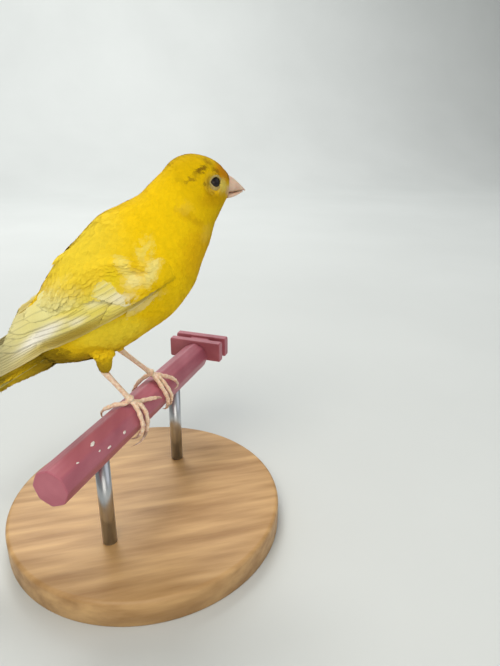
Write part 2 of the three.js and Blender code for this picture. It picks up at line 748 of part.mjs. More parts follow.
function named(name, look, made) {
  let geometry = made;
  if (!made.isBufferGeometry) {
    const { vertProperties, triVerts } = made.getMesh();
    geometry = new THREE.BufferGeometry();
    geometry.setAttribute("position", new THREE.BufferAttribute(vertProperties, 3));
    geometry.setIndex(new THREE.BufferAttribute(triVerts, 1));
    geometry.computeVertexNormals();
  }
  const mesh = new THREE.Mesh(geometry, new THREE.MeshStandardMaterial(LOOKS[look]));
  mesh.name = name;
  return mesh;
}

raised.add(named("torso", "plumage", torso));
raised.add(named("neck", "plumage", neck));
raised.add(named("head", "head", largest(head)));
raised.add(named("bill_upper", "bill", billUpper));
raised.add(named("bill_lower", "bill", billLower));
raised.add(named("wing_right", "wing", wingRight));
raised.add(named("wing_left", "wing", wingLeft));
raised.add(named("tail", "tail", tail));
for (const side of ["right", "left"]) {
  raised.add(named(`eye_${side}`, "eye", ball(eyeCentre(side), EYE_RADIUS, 14, 9)));
  raised.add(named(`thigh_${side}`, "plumage", legs[side].thigh));
  raised.add(named(`tarsus_${side}`, "leg", legs[side].tarsus));
  raised.add(named(`foot_${side}`, "leg", legs[side].foot));
  for (const key of TOES) raised.add(named(`claw_${side}_${key}`, "claw", legs[side].claws[key]));
}
raised.add(named("perch", "perch", perchSolid()));
raised.add(named("stand_rod_near", "steel", standRod(-ROD_ALONG)));
raised.add(named("stand_rod_far", "steel", standRod(ROD_ALONG)));
canary.add(named("stand_base", "oak", standBase()));

export default canary;
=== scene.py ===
"""A canary on a cut length of perch, held up by a plain display stand."""

import json
import logging
import math
from dataclasses import dataclass, field
from enum import Enum, IntEnum
from typing import Callable, Iterable, Sequence

import bmesh
import bpy
import numpy as np
from mathutils import Matrix, Vector
from mathutils.kdtree import KDTree

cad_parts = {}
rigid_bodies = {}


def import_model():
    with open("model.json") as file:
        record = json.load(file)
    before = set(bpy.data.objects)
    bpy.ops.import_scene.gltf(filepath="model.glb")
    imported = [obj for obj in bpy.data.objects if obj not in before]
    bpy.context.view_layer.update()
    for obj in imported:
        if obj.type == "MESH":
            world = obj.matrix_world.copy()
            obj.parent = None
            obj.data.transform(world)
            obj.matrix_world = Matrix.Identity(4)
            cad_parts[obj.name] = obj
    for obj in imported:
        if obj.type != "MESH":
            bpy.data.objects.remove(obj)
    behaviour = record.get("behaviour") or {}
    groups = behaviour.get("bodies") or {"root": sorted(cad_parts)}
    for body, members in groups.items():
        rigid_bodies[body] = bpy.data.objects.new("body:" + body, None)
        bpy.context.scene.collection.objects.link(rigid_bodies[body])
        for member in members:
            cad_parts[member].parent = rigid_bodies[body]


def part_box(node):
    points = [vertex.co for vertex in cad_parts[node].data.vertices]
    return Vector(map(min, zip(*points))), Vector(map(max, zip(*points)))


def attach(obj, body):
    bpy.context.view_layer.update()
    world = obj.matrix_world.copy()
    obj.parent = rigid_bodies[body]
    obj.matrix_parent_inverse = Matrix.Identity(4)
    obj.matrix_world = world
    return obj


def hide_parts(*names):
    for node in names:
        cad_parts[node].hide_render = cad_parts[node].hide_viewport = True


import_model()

log = logging.getLogger("canary")

Array = np.ndarray
Pair, Triple = tuple[float, float], tuple[float, float, float]
Object, Material, Mesh = bpy.types.Object, bpy.types.Material, bpy.types.Mesh
MM = 0.001
PERCH_HEIGHT = 50.0  # mm from the ground to the perch's axis, where the bird's own measures start
PERCH_TURN = math.radians(57)
ALONG = np.array([math.cos(PERCH_TURN), math.sin(PERCH_TURN), 0.0])
ASIDE = np.array([math.sin(PERCH_TURN), -math.cos(PERCH_TURN), 0.0])
UP = np.array([0.0, 0.0, 1.0])
LEFT = np.array([0.0, 1.0, 0.0])


# Small helpers


def linear(code: str) -> tuple[float, float, float, float]:
    """Turns an sRGB hex colour into linear red, green, blue and alpha.

    Args:
        code: The colour, such as "#e8c51c".

    Returns:
        The linear colour with alpha 1.
    """
    parts = [int(code[i : i + 2], 16) / 255 for i in (1, 3, 5)]
    r, g, b = (c / 12.92 if c <= 0.04045 else ((c + 0.055) / 1.055) ** 2.4 for c in parts)
    return (r, g, b, 1.0)


def add(
    tree: bpy.types.NodeTree,
    kind: str,
    inputs: dict | None = None,
    stops: Sequence[tuple[float, str]] = (),
    **settings: object,
) -> bpy.types.bpy_prop_collection:
    """Adds a node with its settings and links.

    Args:
        tree: The node tree that gets the node.
        kind: The node's type name.
        inputs: Socket name or number to a value, or to an output socket to link.
        stops: Places and hex colours of a colour ramp.
        **settings: The node's own properties.

    Returns:
        The new node's output sockets.
    """
    node = tree.nodes.new(kind)
    for key, value in settings.items():
        setattr(node, key, value)
    for key, value in (inputs or {}).items():
        if isinstance(value, bpy.types.NodeSocket):
            tree.links.new(value, node.inputs[key])
        else:
            node.inputs[key].default_value = value
    while stops and len(node.color_ramp.elements) < len(stops):
        node.color_ramp.elements.new(0.5)
    for element, (place, code) in zip(node.color_ramp.elements if stops else (), stops):
        element.position, element.color = place, linear(code)
    return node.outputs


def start_material(name: str) -> tuple[Material, bpy.types.NodeTree]:
    """Starts a material and returns it with its empty node tree."""
    made = bpy.data.materials.new(name)
    made.use_nodes = True
    made.node_tree.nodes.clear()
    return made, made.node_tree


def smoothstep(value: Array | float, low: float, high: float) -> Array:
    """Returns 0 below `low`, 1 above `high`, and a smooth rise between them."""
    share = np.clip((np.asarray(value, float) - low) / (high - low), 0, 1)
    return share * share * (3 - 2 * share)


def mix(a: Array | float, b: Array | float, share: Array | float) -> Array:
    """Returns `a` where the share is 0 and `b` where it is 1."""
    return np.asarray(a) + (np.asarray(b) - np.asarray(a)) * share


def unit(vectors: Array) -> Array:
    """Scales vectors to length 1."""
    return vectors / np.maximum(np.linalg.norm(vectors, axis=-1, keepdims=True), 1e-9)


def abeam(ahead: Array) -> Array:
    """Returns an upright or level direction that lies well off the given one."""
    return UP if abs(ahead[2]) < 0.9 else LEFT


def through(table: Sequence, share: Array | float, free_ends: bool = True) -> Array:
    """Follows a smooth curve through the rows of a table.

    Args:
        table: Rows of one or more values.
        share: Places along the table, 0 at its first row and 1 at its last.
        free_ends: Whether the curve runs on past its ends; otherwise it levels out there.

    Returns:
        One row of values for each place.
    """
    rows = np.asarray(table, float)
    if rows.ndim == 1:
        return through(rows[:, None], share, free_ends)[..., 0]
    last = len(rows) - 1
    first, final = (2 * rows[0] - rows[1], 2 * rows[-1] - rows[-2]) if free_ends else (rows[0], rows[-1])
    padded = np.vstack([first, rows, final])
    place = np.clip(np.asarray(share, float), 0, 1) * last
    i = np.minimum(place.astype(int), last - 1)
    f = (place - i)[..., None]
    a, b, c, d = (padded[i + k] for k in range(4))
    return b + 0.5 * f * (c - a + f * (2 * a - 5 * b + 4 * c - d + f * (3 * (b - c) + d - a)))


def linked(name: str, data: bpy.types.ID) -> Object:
    """Makes an object of a mesh, lamp or camera and links it to the scene."""
    made = bpy.data.objects.new(name, data)
    bpy.context.collection.objects.link(made)
    return made


def mesh_object(name: str, points: Array, faces: Iterable, smooth: bool = True) -> Object:
    """Makes an object from points measured from the perch's axis in millimetres.

    Args:
        name: The object's name.
        points: One row of x, y and z for each vertex.
        faces: Vertex numbers of each face.
        smooth: Whether its faces are shaded smooth.

    Returns:
        The object, linked to the scene, with its place in its mesh.
    """
    mesh = bpy.data.meshes.new(name)
    place = (np.asarray(points, float) + [0, 0, PERCH_HEIGHT]) * MM
    mesh.from_pydata(place.tolist(), [], [tuple(int(i) for i in face) for face in faces])
    mesh.polygons.foreach_set("use_smooth", [smooth] * len(mesh.polygons))
    mesh.update()
    return linked(name, mesh)


def outward(mesh: Mesh, merge: float = 1e-7) -> None:
    """Turns a mesh's faces outwards.

    Args:
        mesh: The mesh to turn.
        merge: How close two vertices are, in metres, to become one first; 0 leaves doubles alone.
    """
    work = bmesh.new()
    work.from_mesh(mesh)
    if merge:
        bmesh.ops.remove_doubles(work, verts=work.verts, dist=merge)
    bmesh.ops.recalc_face_normals(work, faces=work.faces)
    work.to_mesh(mesh)
    work.free()


def finished(
    name: str, points: Array, faces: Iterable, finish: Material, smooth: bool = True, merge: float = 1e-7
) -> Object:
    """Makes a piece with its faces outwards and its finish on it.

    Args:
        name: The piece's name.
        points: Its points, in millimetres from the perch's axis.
        faces: Vertex numbers of each face.
        finish: Its material.
        smooth: Whether its faces are shaded smooth.
        merge: How close two vertices are, in metres, to become one.

    Returns:
        The piece.
    """
    made = mesh_object(name, points, faces, smooth)
    outward(made.data, merge)
    made.data.materials.append(finish)
    return made


def quads(rows: int, columns: int) -> Array:
    """Lists the four-sided faces of a sheet of points laid out in rows."""
    grid = np.arange(rows * columns).reshape(rows, columns)
    return np.stack([grid[:-1, :-1], grid[:-1, 1:], grid[1:, 1:], grid[1:, :-1]], -1).reshape(-1, 4)


def ring_skin(rings: Sequence[Array], caps: bool = True) -> tuple[Array, list[tuple[int, ...]]]:
    """Lays a skin over rings of points.

    Args:
        rings: The points of each ring.
        caps: Whether each end is closed.

    Returns:
        The points and the faces.
    """
    count, sides, faces = len(rings), len(rings[0]), []
    for i in range(count - 1):
        for k in range(sides):
            a, b = i * sides + k, i * sides + (k + 1) % sides
            faces.append((a, b, b + sides, a + sides))
    if caps:
        faces.append(tuple(reversed(range(sides))))
        faces.append(tuple(range((count - 1) * sides, count * sides)))
    return np.concatenate(rings), faces


def circle(sides: int) -> Array:
    """Returns the angles of points spread evenly round a circle."""
    return np.linspace(0, 2 * math.pi, sides, endpoint=False)


def joined(parts: Iterable[tuple[Array, Iterable]]) -> tuple[Array, list[tuple[int, ...]]]:
    """Joins the points and the faces of several parts.

    Args:
        parts: The points and the faces of each part.

    Returns:
        All the points and all the faces.
    """
    points, faces, start = [], [], 0
    for place, skin in parts:
        faces += [tuple(i + start for i in face) for face in skin]
        points.append(place)
        start += len(place)
    return np.concatenate(points), faces


def tube(
    path: Array, radii: Array, sides: int, flatten: float = 1.0, ridge: Array | None = None
) -> tuple[Array, list]:
    """Lays a skin round a path.

    Args:
        path: The points along the middle.
        radii: One radius for each point.
        sides: How many points go round.
        flatten: The height of the section over its width.
        ridge: How much each point of the path swells on the side that faces away from the perch.

    Returns:
        The points and the faces.
    """
    path = np.asarray(path, float)
    heading = unit(np.gradient(path, axis=0))
    across = np.cross(heading[0], abeam(heading[0]))
    rings = []
    for i, (centre, ahead, radius) in enumerate(zip(path, heading, radii)):
        across = unit(across - ahead * (across @ ahead))
        other = np.cross(ahead, across)
        angles = circle(sides)
        offsets = np.outer(np.cos(angles), across) + flatten * np.outer(np.sin(angles), other)
        size = radius
        if ridge is not None:
            away = centre - ALONG * (centre @ ALONG)
            size = radius + ridge[i] * np.clip(offsets @ unit(away), 0, 1) ** 0.7
        rings.append(centre + offsets * np.reshape(size, (-1, 1)))
    return ring_skin(rings)


def set_attribute(mesh: Mesh, name: str, values: Array) -> None:
    """Stores one value for each vertex of a mesh.

    Args:
        mesh: The mesh that carries the values.
        name: The attribute's name.
        values: A number, a vector or a colour with alpha for each vertex.
    """
    if name in mesh.attributes:
        mesh.attributes.remove(mesh.attributes[name])
    values = np.asarray(values, np.float32)
    kinds = {3: ("FLOAT_VECTOR", "vector"), 4: ("FLOAT_COLOR", "color")}
    kind, key = kinds.get(values.shape[-1], ("FLOAT", "value"))
    mesh.attributes.new(name, kind, "POINT").data.foreach_set(key, values.ravel())


def corners_of(mesh: Mesh) -> Array:
    """Returns the vertex number of each corner of a mesh."""
    corners = np.empty(len(mesh.loops), np.int32)
    mesh.loops.foreach_get("vertex_index", corners)
    return corners


def set_unwrap(mesh: Mesh, rows: Array) -> None:
    """Stores a mesh's unwrap, with one row for each corner."""
    mesh.uv_layers.new(name="OFBake")
    mesh.uv_layers["OFBake"].data.foreach_set("uv", rows.astype(np.float32).ravel())


def vertices_of(mesh: Mesh) -> Array:
    """Returns a mesh's vertices in millimetres from the perch's axis."""
    flat = np.empty(len(mesh.vertices) * 3, np.float32)
    mesh.vertices.foreach_get("co", flat)
    return flat.reshape(-1, 3).astype(float) / MM - [0, 0, PERCH_HEIGHT]


def normals_of(mesh: Mesh) -> Array:
    """Returns a mesh's vertex normals."""
    flat = np.empty(len(mesh.vertices) * 3, np.float32)
    mesh.vertex_normals.foreach_get("vector", flat)
    return flat.reshape(-1, 3)


def settle(obj: Object) -> None:
    """Applies an object's modifiers, so that it has a plain mesh."""
    graph = bpy.context.evaluated_depsgraph_get()
    made = bpy.data.meshes.new_from_object(obj.evaluated_get(graph))
    obj.modifiers.clear()
    obj.data = made


# Forms of the bird, in millimetres from the perch's axis, with +X the way the bird faces


@dataclass(frozen=True)
class BodyForm:
    """The bird from the root of the tail to the base of the bill."""

    stations: tuple = (  # back x, back z, belly x, belly z, half width
        (-34.8, 37.8, -30.6, 23.4, 5.2), (-32.7, 41.4, -26.6, 21.2, 7.2), (-28.8, 46.8, -21.5, 20.9, 10.4),
        (-22.1, 55.8, -13.2, 21.9, 14.2), (-14.9, 64.0, -4.6, 25.0, 16.4), (-7.7, 70.3, 4.8, 30.5, 17.0),
        (-0.7, 73.8, 13.8, 37.0, 16.4), (4.6, 76.7, 20.5, 45.6, 14.6), (8.6, 80.4, 24.0, 53.8, 12.3),
        (12.3, 83.8, 26.8, 60.2, 10.0), (16.2, 87.0, 28.5, 65.2, 8.6), (21.2, 88.3, 30.1, 68.4, 8.0),
        (26.3, 87.5, 31.3, 70.8, 7.3), (30.3, 85.6, 32.5, 72.5, 5.9), (33.6, 82.5, 33.4, 74.0, 3.9),
    )
    bulge: float = 2.15  # power of the sections' outline, 2 for an ellipse
    yaw: float = math.radians(10)  # turn of the head, which grows between two stations about x = pivot
    yaw_from: float = 7.0
    yaw_to: float = 11.0
    pivot: float = 14.0

    @property
    def last(self) -> int:
        """The number of the front station."""
        return len(self.stations) - 1

    def turned(self, points: Array, station: Array, back: bool = False) -> Array:
        """Carries points round with the turn of the neck.

        Args:
            points: The points to turn.
            station: The station that each point belongs to.
            back: Whether the turn is taken off again.

        Returns:
            The turned points.
        """
        angle = self.yaw * smoothstep(station, self.yaw_from, self.yaw_to) * (-1 if back else 1)
        dx = points[..., 0] - self.pivot
        x = self.pivot + dx * np.cos(angle) - points[..., 1] * np.sin(angle)
        y = dx * np.sin(angle) + points[..., 1] * np.cos(angle)
        return np.stack([x, y, points[..., 2]], -1)

    def section(self, station: Array) -> tuple[Array, Array, Array, Array]:
        """Returns the middle, axis, half height and half width of the cross sections at stations."""
        row = through(self.stations, np.asarray(station, float) / self.last)
        zero = np.zeros_like(row[..., 0])
        back, belly = (np.stack([row[..., i], zero, row[..., i + 1]], -1) for i in (0, 2))
        span = back - belly
        return (back + belly) / 2, unit(span), np.linalg.norm(span, axis=-1) / 2, row[..., 4]

    def surface(self, station: Array, angle: Array, grow: Array) -> Array:
        """Finds points of the plumage's surface.

        Args:
            station: The station of each point.
            angle: Its angle round the body, 0 on the back.
            grow: How far outside the surface it lies.

        Returns:
            The points, with the head turned.
        """
        middle, axis, half, width = self.section(station)
        round_off = lambda v: np.sign(v) * np.abs(v) ** (2 / self.bulge)
        high = (half + grow) * round_off(np.cos(angle))
        wide = (width + grow) * round_off(np.sin(angle))
        return self.turned(middle + axis * high[..., None] + LEFT * wide[..., None], np.asarray(station, float))

    def head_point(self, x: float, y: float, z: float) -> Array:
        """Turns a point of the straight head with the neck."""
        return self.turned(np.array([x, y, z], float), np.array(float(self.last)))

    def flank(self, x: Array, z: Array) -> Array:
        """Finds the torso's half width abeam of points of the middle plane.

        Args:
            x: How far forward each point lies.
            z: How high it lies.

        Returns:
            One half width for each, 0 outside the torso.
        """
        x, z = np.asarray(x, float), np.asarray(z, float)
        low, high = np.zeros_like(x), np.full_like(x, 10.0)

        def behind(station: Array) -> Array:
            """Tells which points lie behind the cross sections at the stations."""
            middle, axis = self.section(station)[:2]
            return axis[..., 0] * (z - middle[..., 2]) - axis[..., 2] * (x - middle[..., 0]) > 0

        outside = behind(low)
        for _ in range(24):
            half = (low + high) / 2
            past = behind(half)
            high, low = np.where(past, half, high), np.where(past, low, half)
        middle, axis, half, width = self.section(low)
        share = np.abs((x - middle[..., 0]) * axis[..., 0] + (z - middle[..., 2]) * axis[..., 2]) / half
        wide = width * np.clip(1 - share**self.bulge, 0, None) ** (1 / self.bulge)
        return np.where(outside | (share >= 1), 0.0, wide)


@dataclass(frozen=True)
class WingForm:
    """The folded right wing, measured from the wrist along the feathers (p) and across them (q)."""

    body: BodyForm
    wrist: tuple = (8.5, 54.0)
    pitch: float = math.radians(29.5)
    length: float = 75.0
    low: tuple = (-3.2, -4.6, -4.7, -3.8, -2.9, -2.5, -2.5, -2.2)
    high: tuple = (4.0, 12.2, 14.0, 11.6, 8.9, 7.4, 4.4, -1.0)
    rest_low: tuple = (0, 0, 0, 2.0, 6.4, 7.0, 5.8, 4.9)
    rest_high: tuple = (0, 0, 0, 4.2, 4.6, 2.6, 2.9, 4.1)
    gap: float = 0.3

    def edges(self, p: Array) -> tuple[Array, Array]:
        """Returns the wing's lower and upper edge at places along it."""
        share = np.asarray(p, float) / self.length
        return through(self.low, share, False), through(self.high, share, False)

    def share(self, p: Array, q: Array) -> Array:
        """Returns 0 on the wing's lower edge and 1 on its upper edge."""
        low, high = self.edges(p)
        return (q - low) / np.maximum(2, high - low)

    def plane(self, p: Array, q: Array) -> tuple[Array, Array]:
        """Returns the x and z of a point over the wing."""
        p, q = np.asarray(p, float), np.asarray(q, float)
        x = self.wrist[0] - p * math.cos(self.pitch) - q * math.sin(self.pitch)
        return x, self.wrist[1] - p * math.sin(self.pitch) + q * math.cos(self.pitch)

    def along_across(self, points: Array) -> tuple[Array, Array]:
        """Returns how far along and across the wing points lie, seen from the side."""
        dx, dz = points[..., 0] - self.wrist[0], points[..., 2] - self.wrist[1]
        c, s = math.cos(self.pitch), math.sin(self.pitch)
        return -dx * c - dz * s, -dx * s + dz * c

    def lie(self, drop: Array | float) -> Array:
        """Returns the way that feathers point which run along the wing and drop across it by a share."""
        c, s, drop = math.cos(self.pitch), math.sin(self.pitch), np.asarray(drop, float)
        return unit(np.stack([-c + drop * s, 0 * drop, -s - drop * c], -1))

    def point(self, p: Array, q: Array, height: Array) -> Array:
        """Finds points over the wing.

        Args:
            p: How far along the feathers.
            q: How far across them.
            height: How far over the wing's inner face.

        Returns:
            The points in space, on the right side.
        """
        x, z = self.plane(p, q)
        across = np.clip(self.share(p, q), 0, 1)
        run = np.asarray(p, float) / self.length
        free = mix(through(self.rest_low, run, False), through(self.rest_high, run, False), across)
        body = self.body.flank(x, z) + self.gap
        blend = np.clip(0.5 + (body - free) / 2.4, 0, 1)
        rest = np.maximum(0.6, mix(free, body, blend) + 0.6 * blend * (1 - blend))
        return np.stack([x, -(rest + height), z], -1)

    def depth(self, p: Array, q: Array) -> Array:
        """Returns how thick the wing's bulk is under its outermost feathers."""
        across = np.clip(self.share(p, q), 0, 1)
        along = mix(1.7, 0.55, smoothstep(p, 8, 60))
        return mix(0.45, along, np.sqrt(np.clip(1 - (2 * across - 1) ** 4, 0, 1)))


@dataclass(frozen=True)
class TailForm:
    """The closed tail, measured from its root along the feathers."""

    x: float = -27.0
    z: float = 27.8
    pitch: float = math.radians(31.4)
    length: float = 55.5

    @property
    def out(self) -> Array:
        """The way that the tail points."""
        return np.array([-math.cos(self.pitch), 0, -math.sin(self.pitch)])

    @property
    def rise(self) -> Array:
        """The way that the tail's upper side faces."""
        return np.array([-math.sin(self.pitch), 0, math.cos(self.pitch)])

    def point(self, p: Array, y: Array, height: Array) -> Array:
        """Finds points at places along, across and over the tail."""
        p, y, height = np.broadcast_arrays(*(np.asarray(v, float) for v in (p, y, height)))
        place = np.array([self.x, 0, self.z]) + p[..., None] * self.out + height[..., None] * self.rise
        return place + y[..., None] * LEFT

    def root(self, p: Array, angle: Array) -> Array:
        """Finds points round the coverts at the tail's root."""
        width = mix(4.6, 5.2, smoothstep(p, 0, 30)) * (1 - 0.3 * smoothstep(p, 14, 30))
        over, under = mix(4.8, 0.9, smoothstep(p, -2, 20)), mix(6.2, 0.9, smoothstep(p, 0, 34))
        tall = np.where(np.cos(angle) > 0, over, under)
        return self.point(p, width * np.sin(angle), tall * np.cos(angle))


# Markings


@dataclass(frozen=True)
class Mark:
    """A patch of colour in the plumage, the same on both sides, where the straight head or body has it."""

    colour: str
    centre: Triple
    reach: Triple
    strength: float = 1.0
    lean: float = 0.0  # degrees that its long side dips towards the bill

    def share(self, points: Array) -> Array:
        """Returns how strongly the patch tints each point."""
        x, y, z = (points * [1, 0, 1] + np.abs(points) * [0, 1, 0] - np.array(self.centre)).T
        c, s = math.cos(math.radians(self.lean)), math.sin(math.radians(self.lean))
        x, z = x * c - z * s, x * s + z * c
        reach = np.sqrt((x / self.reach[0]) ** 2 + (y / self.reach[1]) ** 2 + (z / self.reach[2]) ** 2)
        return self.strength * (1 - smoothstep(reach, 0.45, 1.15))


@dataclass(frozen=True)
class Patch:
    """A patch of colour on the folded wing, placed along and across its feathers."""

    colour: str
    p: float
    q: float
    long: float
    wide: float
    strength: float = 1.0
    lean: float = 0.0  # degrees that its far end rises across the wing

    def share(self, p: Array, q: Array) -> Array:
        """Returns how strongly the patch tints each place."""
        c, s = math.cos(math.radians(self.lean)), math.sin(math.radians(self.lean))
        dp, dq = p - self.p, q - self.q
        reach = np.hypot((dp * c + dq * s) / self.long, (dq * c - dp * s) / self.wide)
        return self.strength * (1 - smoothstep(reach, 0.3, 1.2))


@dataclass(frozen=True)
class Markings:
    """The canary's colours: clear yellow, warm on the head and breast, with pale wings and a few dark ticks,
    plus painted light on the mantle and painted shade on the vent, undertail, thighs, cheek crease and wing's
    lower edge.
    """

    body: str = "#edc60c"
    head: str = "#dbb404"
    belly: str = "#dcb81a"
    marks: tuple[Mark, ...] = (
        Mark("#ecd644", (-12, 4, 62), (28, 16, 17), 0.62, 38),  # sunlit mantle
        Mark("#dba606", (22, 8, 60), (8, 9, 9), 0.6),  # warm breast
        Mark("#c88200", (31.0, 3.6, 82.2), (4.2, 4.5, 3.6), 0.92),  # orange forehead
        Mark("#74530c", (23.8, 6.6, 83.9), (3.0, 3, 1.0), 0.85, -12),  # ticks over the eye
        Mark("#8a6810", (20.4, 7.6, 81.9), (3.0, 3, 0.9), 0.7, -20),
        Mark("#94700f", (26.6, 5.2, 85.7), (2.3, 3, 0.8), 0.65, 34),
        Mark("#7c580a", (28.6, 5.8, 83.0), (1.7, 3, 0.8), 0.7, 34),
        Mark("#b4900e", (15.8, 8, 82.4), (2.4, 3, 1.6), 0.45),
        Mark("#ddcf80", (27.2, 7, 79.6), (2.8, 3, 2.8), 0.4),  # thin pale ring round the eye
        Mark("#7a5c14", (24.6, 8, 80.0), (0.7, 2, 0.5), 0.55),  # dark corner behind it
        Mark("#ddd070", (30.4, 6, 78.6), (1.9, 4, 2.7), 0.65),  # pale lore
        Mark("#cfae8c", (32.9, 4, 76.8), (1.7, 4, 2.0), 0.9),  # bare gape
        Mark("#c08f06", (20.2, 10, 70.4), (7.4, 4, 1.3), 0.45, 33),  # painted shade in the crease behind the cheek
        Mark("#e4c040", (17.8, 10, 74.2), (2.8, 3, 2.2), 0.35),  # paler cheek
        Mark("#bd8b04", (27, 6, 75.4), (7, 5, 3.0), 0.5),  # under the eye
        Mark("#e6c650", (24.6, 7, 65.4), (2.6, 4, 3.2), 0.3),  # fluffed throat
        Mark("#ead86a", (5.8, 15.3, 62.1), (6.6, 6, 2.1), 0.7, -65),  # pale bars on the shoulder
        Mark("#eadf8c", (6.4, 16.5, 55.6), (6.2, 6, 2.3), 0.75, -62),
        Mark("#e0bb10", (2.4, 16, 59.4), (5.4, 6, 1.5), 0.6, -65),
        Mark("#e8d68c", (4, 16, 45.6), (10, 7, 1.2), 0.7, -31),  # pale flank under the wing's edge
        Mark("#f0d83a", (-4, 14, 36), (14, 8, 8), 0.75),  # paler flank
        Mark("#7c6406", (-25.5, 8, 25.2), (12.5, 11, 6.5), 0.8),  # shaded vent
        Mark("#94802a", (-40, 4, 14), (22, 9, 6.5), 0.9, -27),  # painted shade on the undertail
        Mark("#907518", (-12.4, 11, 20.0), (5, 5, 5.5), 0.75),  # painted shade on the thigh
    )
    wing: tuple[Patch, ...] = (
        Patch("#e0d058", 27, 4, 20, 10.5, 0.9, 3), Patch("#ddd486", 42, 3, 18, 6.5, 0.8, -3),
        Patch("#ece49c", 33, 8.4, 13, 5.4, 0.9, -12), Patch("#e4ca20", 10.5, 7.6, 3.0, 3.4, 0.8),
        Patch("#e8dc80", 6.4, 7.6, 1.6, 5.0, 0.6, -10), Patch("#ece09a", 6, 3.8, 3.4, 2.6, 0.7, 14),
        Patch("#ecd850", 30, 4.6, 8, 2.0, 0.7, -3), Patch("#ede4bc", 13.4, 1.0, 6.2, 2.6, 0.9, 8),
        Patch("#ece6b8", 21, 3.4, 5, 2.2, 0.6), Patch("#f1ecd6", 30, 0.9, 3.8, 1.5, 0.6),
        # the dark olive patches #a88c14 and #a4881c along the lower edge are painted shadow under the wing's
        # edge
        Patch("#f6f2e4", 44, 1.3, 13, 2.3, 0.95, -10), Patch("#a88c14", 35, -2.6, 18, 2.2, 0.88, 1),
        Patch("#a4881c", 9, -3.5, 15, 0.9, 0.8), Patch("#d8c68c", 21, -4.6, 9, 0.9, 0.7),
        Patch("#aaa276", 66, 1.5, 17, 8, 0.9),
    )

    def on_wing(self, p: Array, q: Array, base: Array) -> Array:
        """Tints colours with the patches of the wing.

        Args:
            p: How far along the wing.
            q: How far across it.
            base: The colours to tint.

        Returns:
            Linear colours with alpha.
        """
        for patch in self.wing:
            base = mix(base, np.array(linear(patch.colour)), patch.share(p, q)[..., None])
        return base

    def colours(self, points: Array, station: Array) -> Array:
        """Mixes the plumage's colour at points of the surface.

        Args:
            points: Points of the bird with its head straight.
            station: The body station of each.

        Returns:
            Linear colours with alpha.
        """
        tint = lambda code: np.array(linear(code))
        made = mix(tint(self.body), tint(self.head), smoothstep(station, 8.0, 10.5)[:, None])
        low = 1 - smoothstep(points[:, 2], 24, 42)
        made = mix(made, tint(self.belly), (low * (station < 8))[:, None])
        for mark in self.marks:
            made = mix(made, tint(mark.colour), mark.share(points)[:, None])
        return made


# Finishes


@dataclass(frozen=True)
class Plumage:
    """Body feathers: loose, fine keratin barbs, so they look dull and a little velvety; painted shade darkens
    each towards its root.
    """

    name: str = "feather_soft_barbs"
    root: float = 0.92  # painted shade: brightness at the root, where the feathers over it shade it, against the middle of a feather
    tip: float = 1.02
    fade_to: float = 0.6  # share of the feather's length by which the painted root shade has faded to full brightness
    sway: float = 0.045  # how much one feather's brightness differs from the next
    fleck: float = 0.16  # how much the flecks differ in brightness
    grain: float = 1.1  # mm across a fleck
    sheen: float = 0.05
    softness: float = 0.45  # how far a feather is lit as the body under it, as light sinks into barbs

    def material(self) -> Material:
        """Builds the material from the feathers' pigment, shade, reach and the way the body faces.

        Returns:
            The material.
        """
        made, tree = start_material(self.name)
        names = ("pigment", "shade", "reach", "facing")
        read = {name: add(tree, "ShaderNodeAttribute", attribute_name=name) for name in names}
        place = add(tree, "ShaderNodeTexCoord")["Object"]
        scale = 1000 / self.grain
        flecks = add(tree, "ShaderNodeTexNoise", {"Vector": place, "Scale": scale, "Detail": 3.0})["Fac"]
        reach = read["reach"]["Fac"]
        # painted shade: darker towards each feather's root, where the feathers over it shade it, and a little
        # lighter at the tip
        fade = {"Value": reach, "From Max": self.fade_to, "To Min": self.root, "To Max": self.tip}
        level = add(tree, "ShaderNodeMapRange", fade, interpolation_type="SMOOTHSTEP")[0]
        for value, factor in ((read["shade"]["Fac"], self.sway), (flecks, self.fleck)):
            part = {0: value, 1: factor, 2: level}
            level = add(tree, "ShaderNodeMath", part, operation="MULTIPLY_ADD")[0]
        level = add(tree, "ShaderNodeMath", {0: level, 1: self.fleck / 2}, operation="SUBTRACT")[0]
        colour = add(tree, "ShaderNodeHueSaturation", {"Color": read["pigment"]["Color"], "Value": level})
        own = add(tree, "ShaderNodeNewGeometry")["Normal"]
        blend = {"Factor": self.softness, 4: own, 5: read["facing"]["Vector"]}
        soft = add(tree, "ShaderNodeMix", blend, data_type="VECTOR")[1]
        relief = {"Height": flecks, "Strength": 0.2, "Distance": 0.0002, "Normal": soft}
        look = {
            "Base Color": colour[0],
            "Normal": add(tree, "ShaderNodeBump", relief)[0],
            "Roughness": 0.85,
            "Specular IOR Level": 0.08,
            "Sheen Weight": self.sheen,
            "Sheen Roughness": 0.45,
            "Sheen Tint": linear("#fff2b0"),
        }
        shader = add(tree, "ShaderNodeBsdfPrincipled", look)
        add(tree, "ShaderNodeOutputMaterial", {"Surface": shader[0]})
        return made


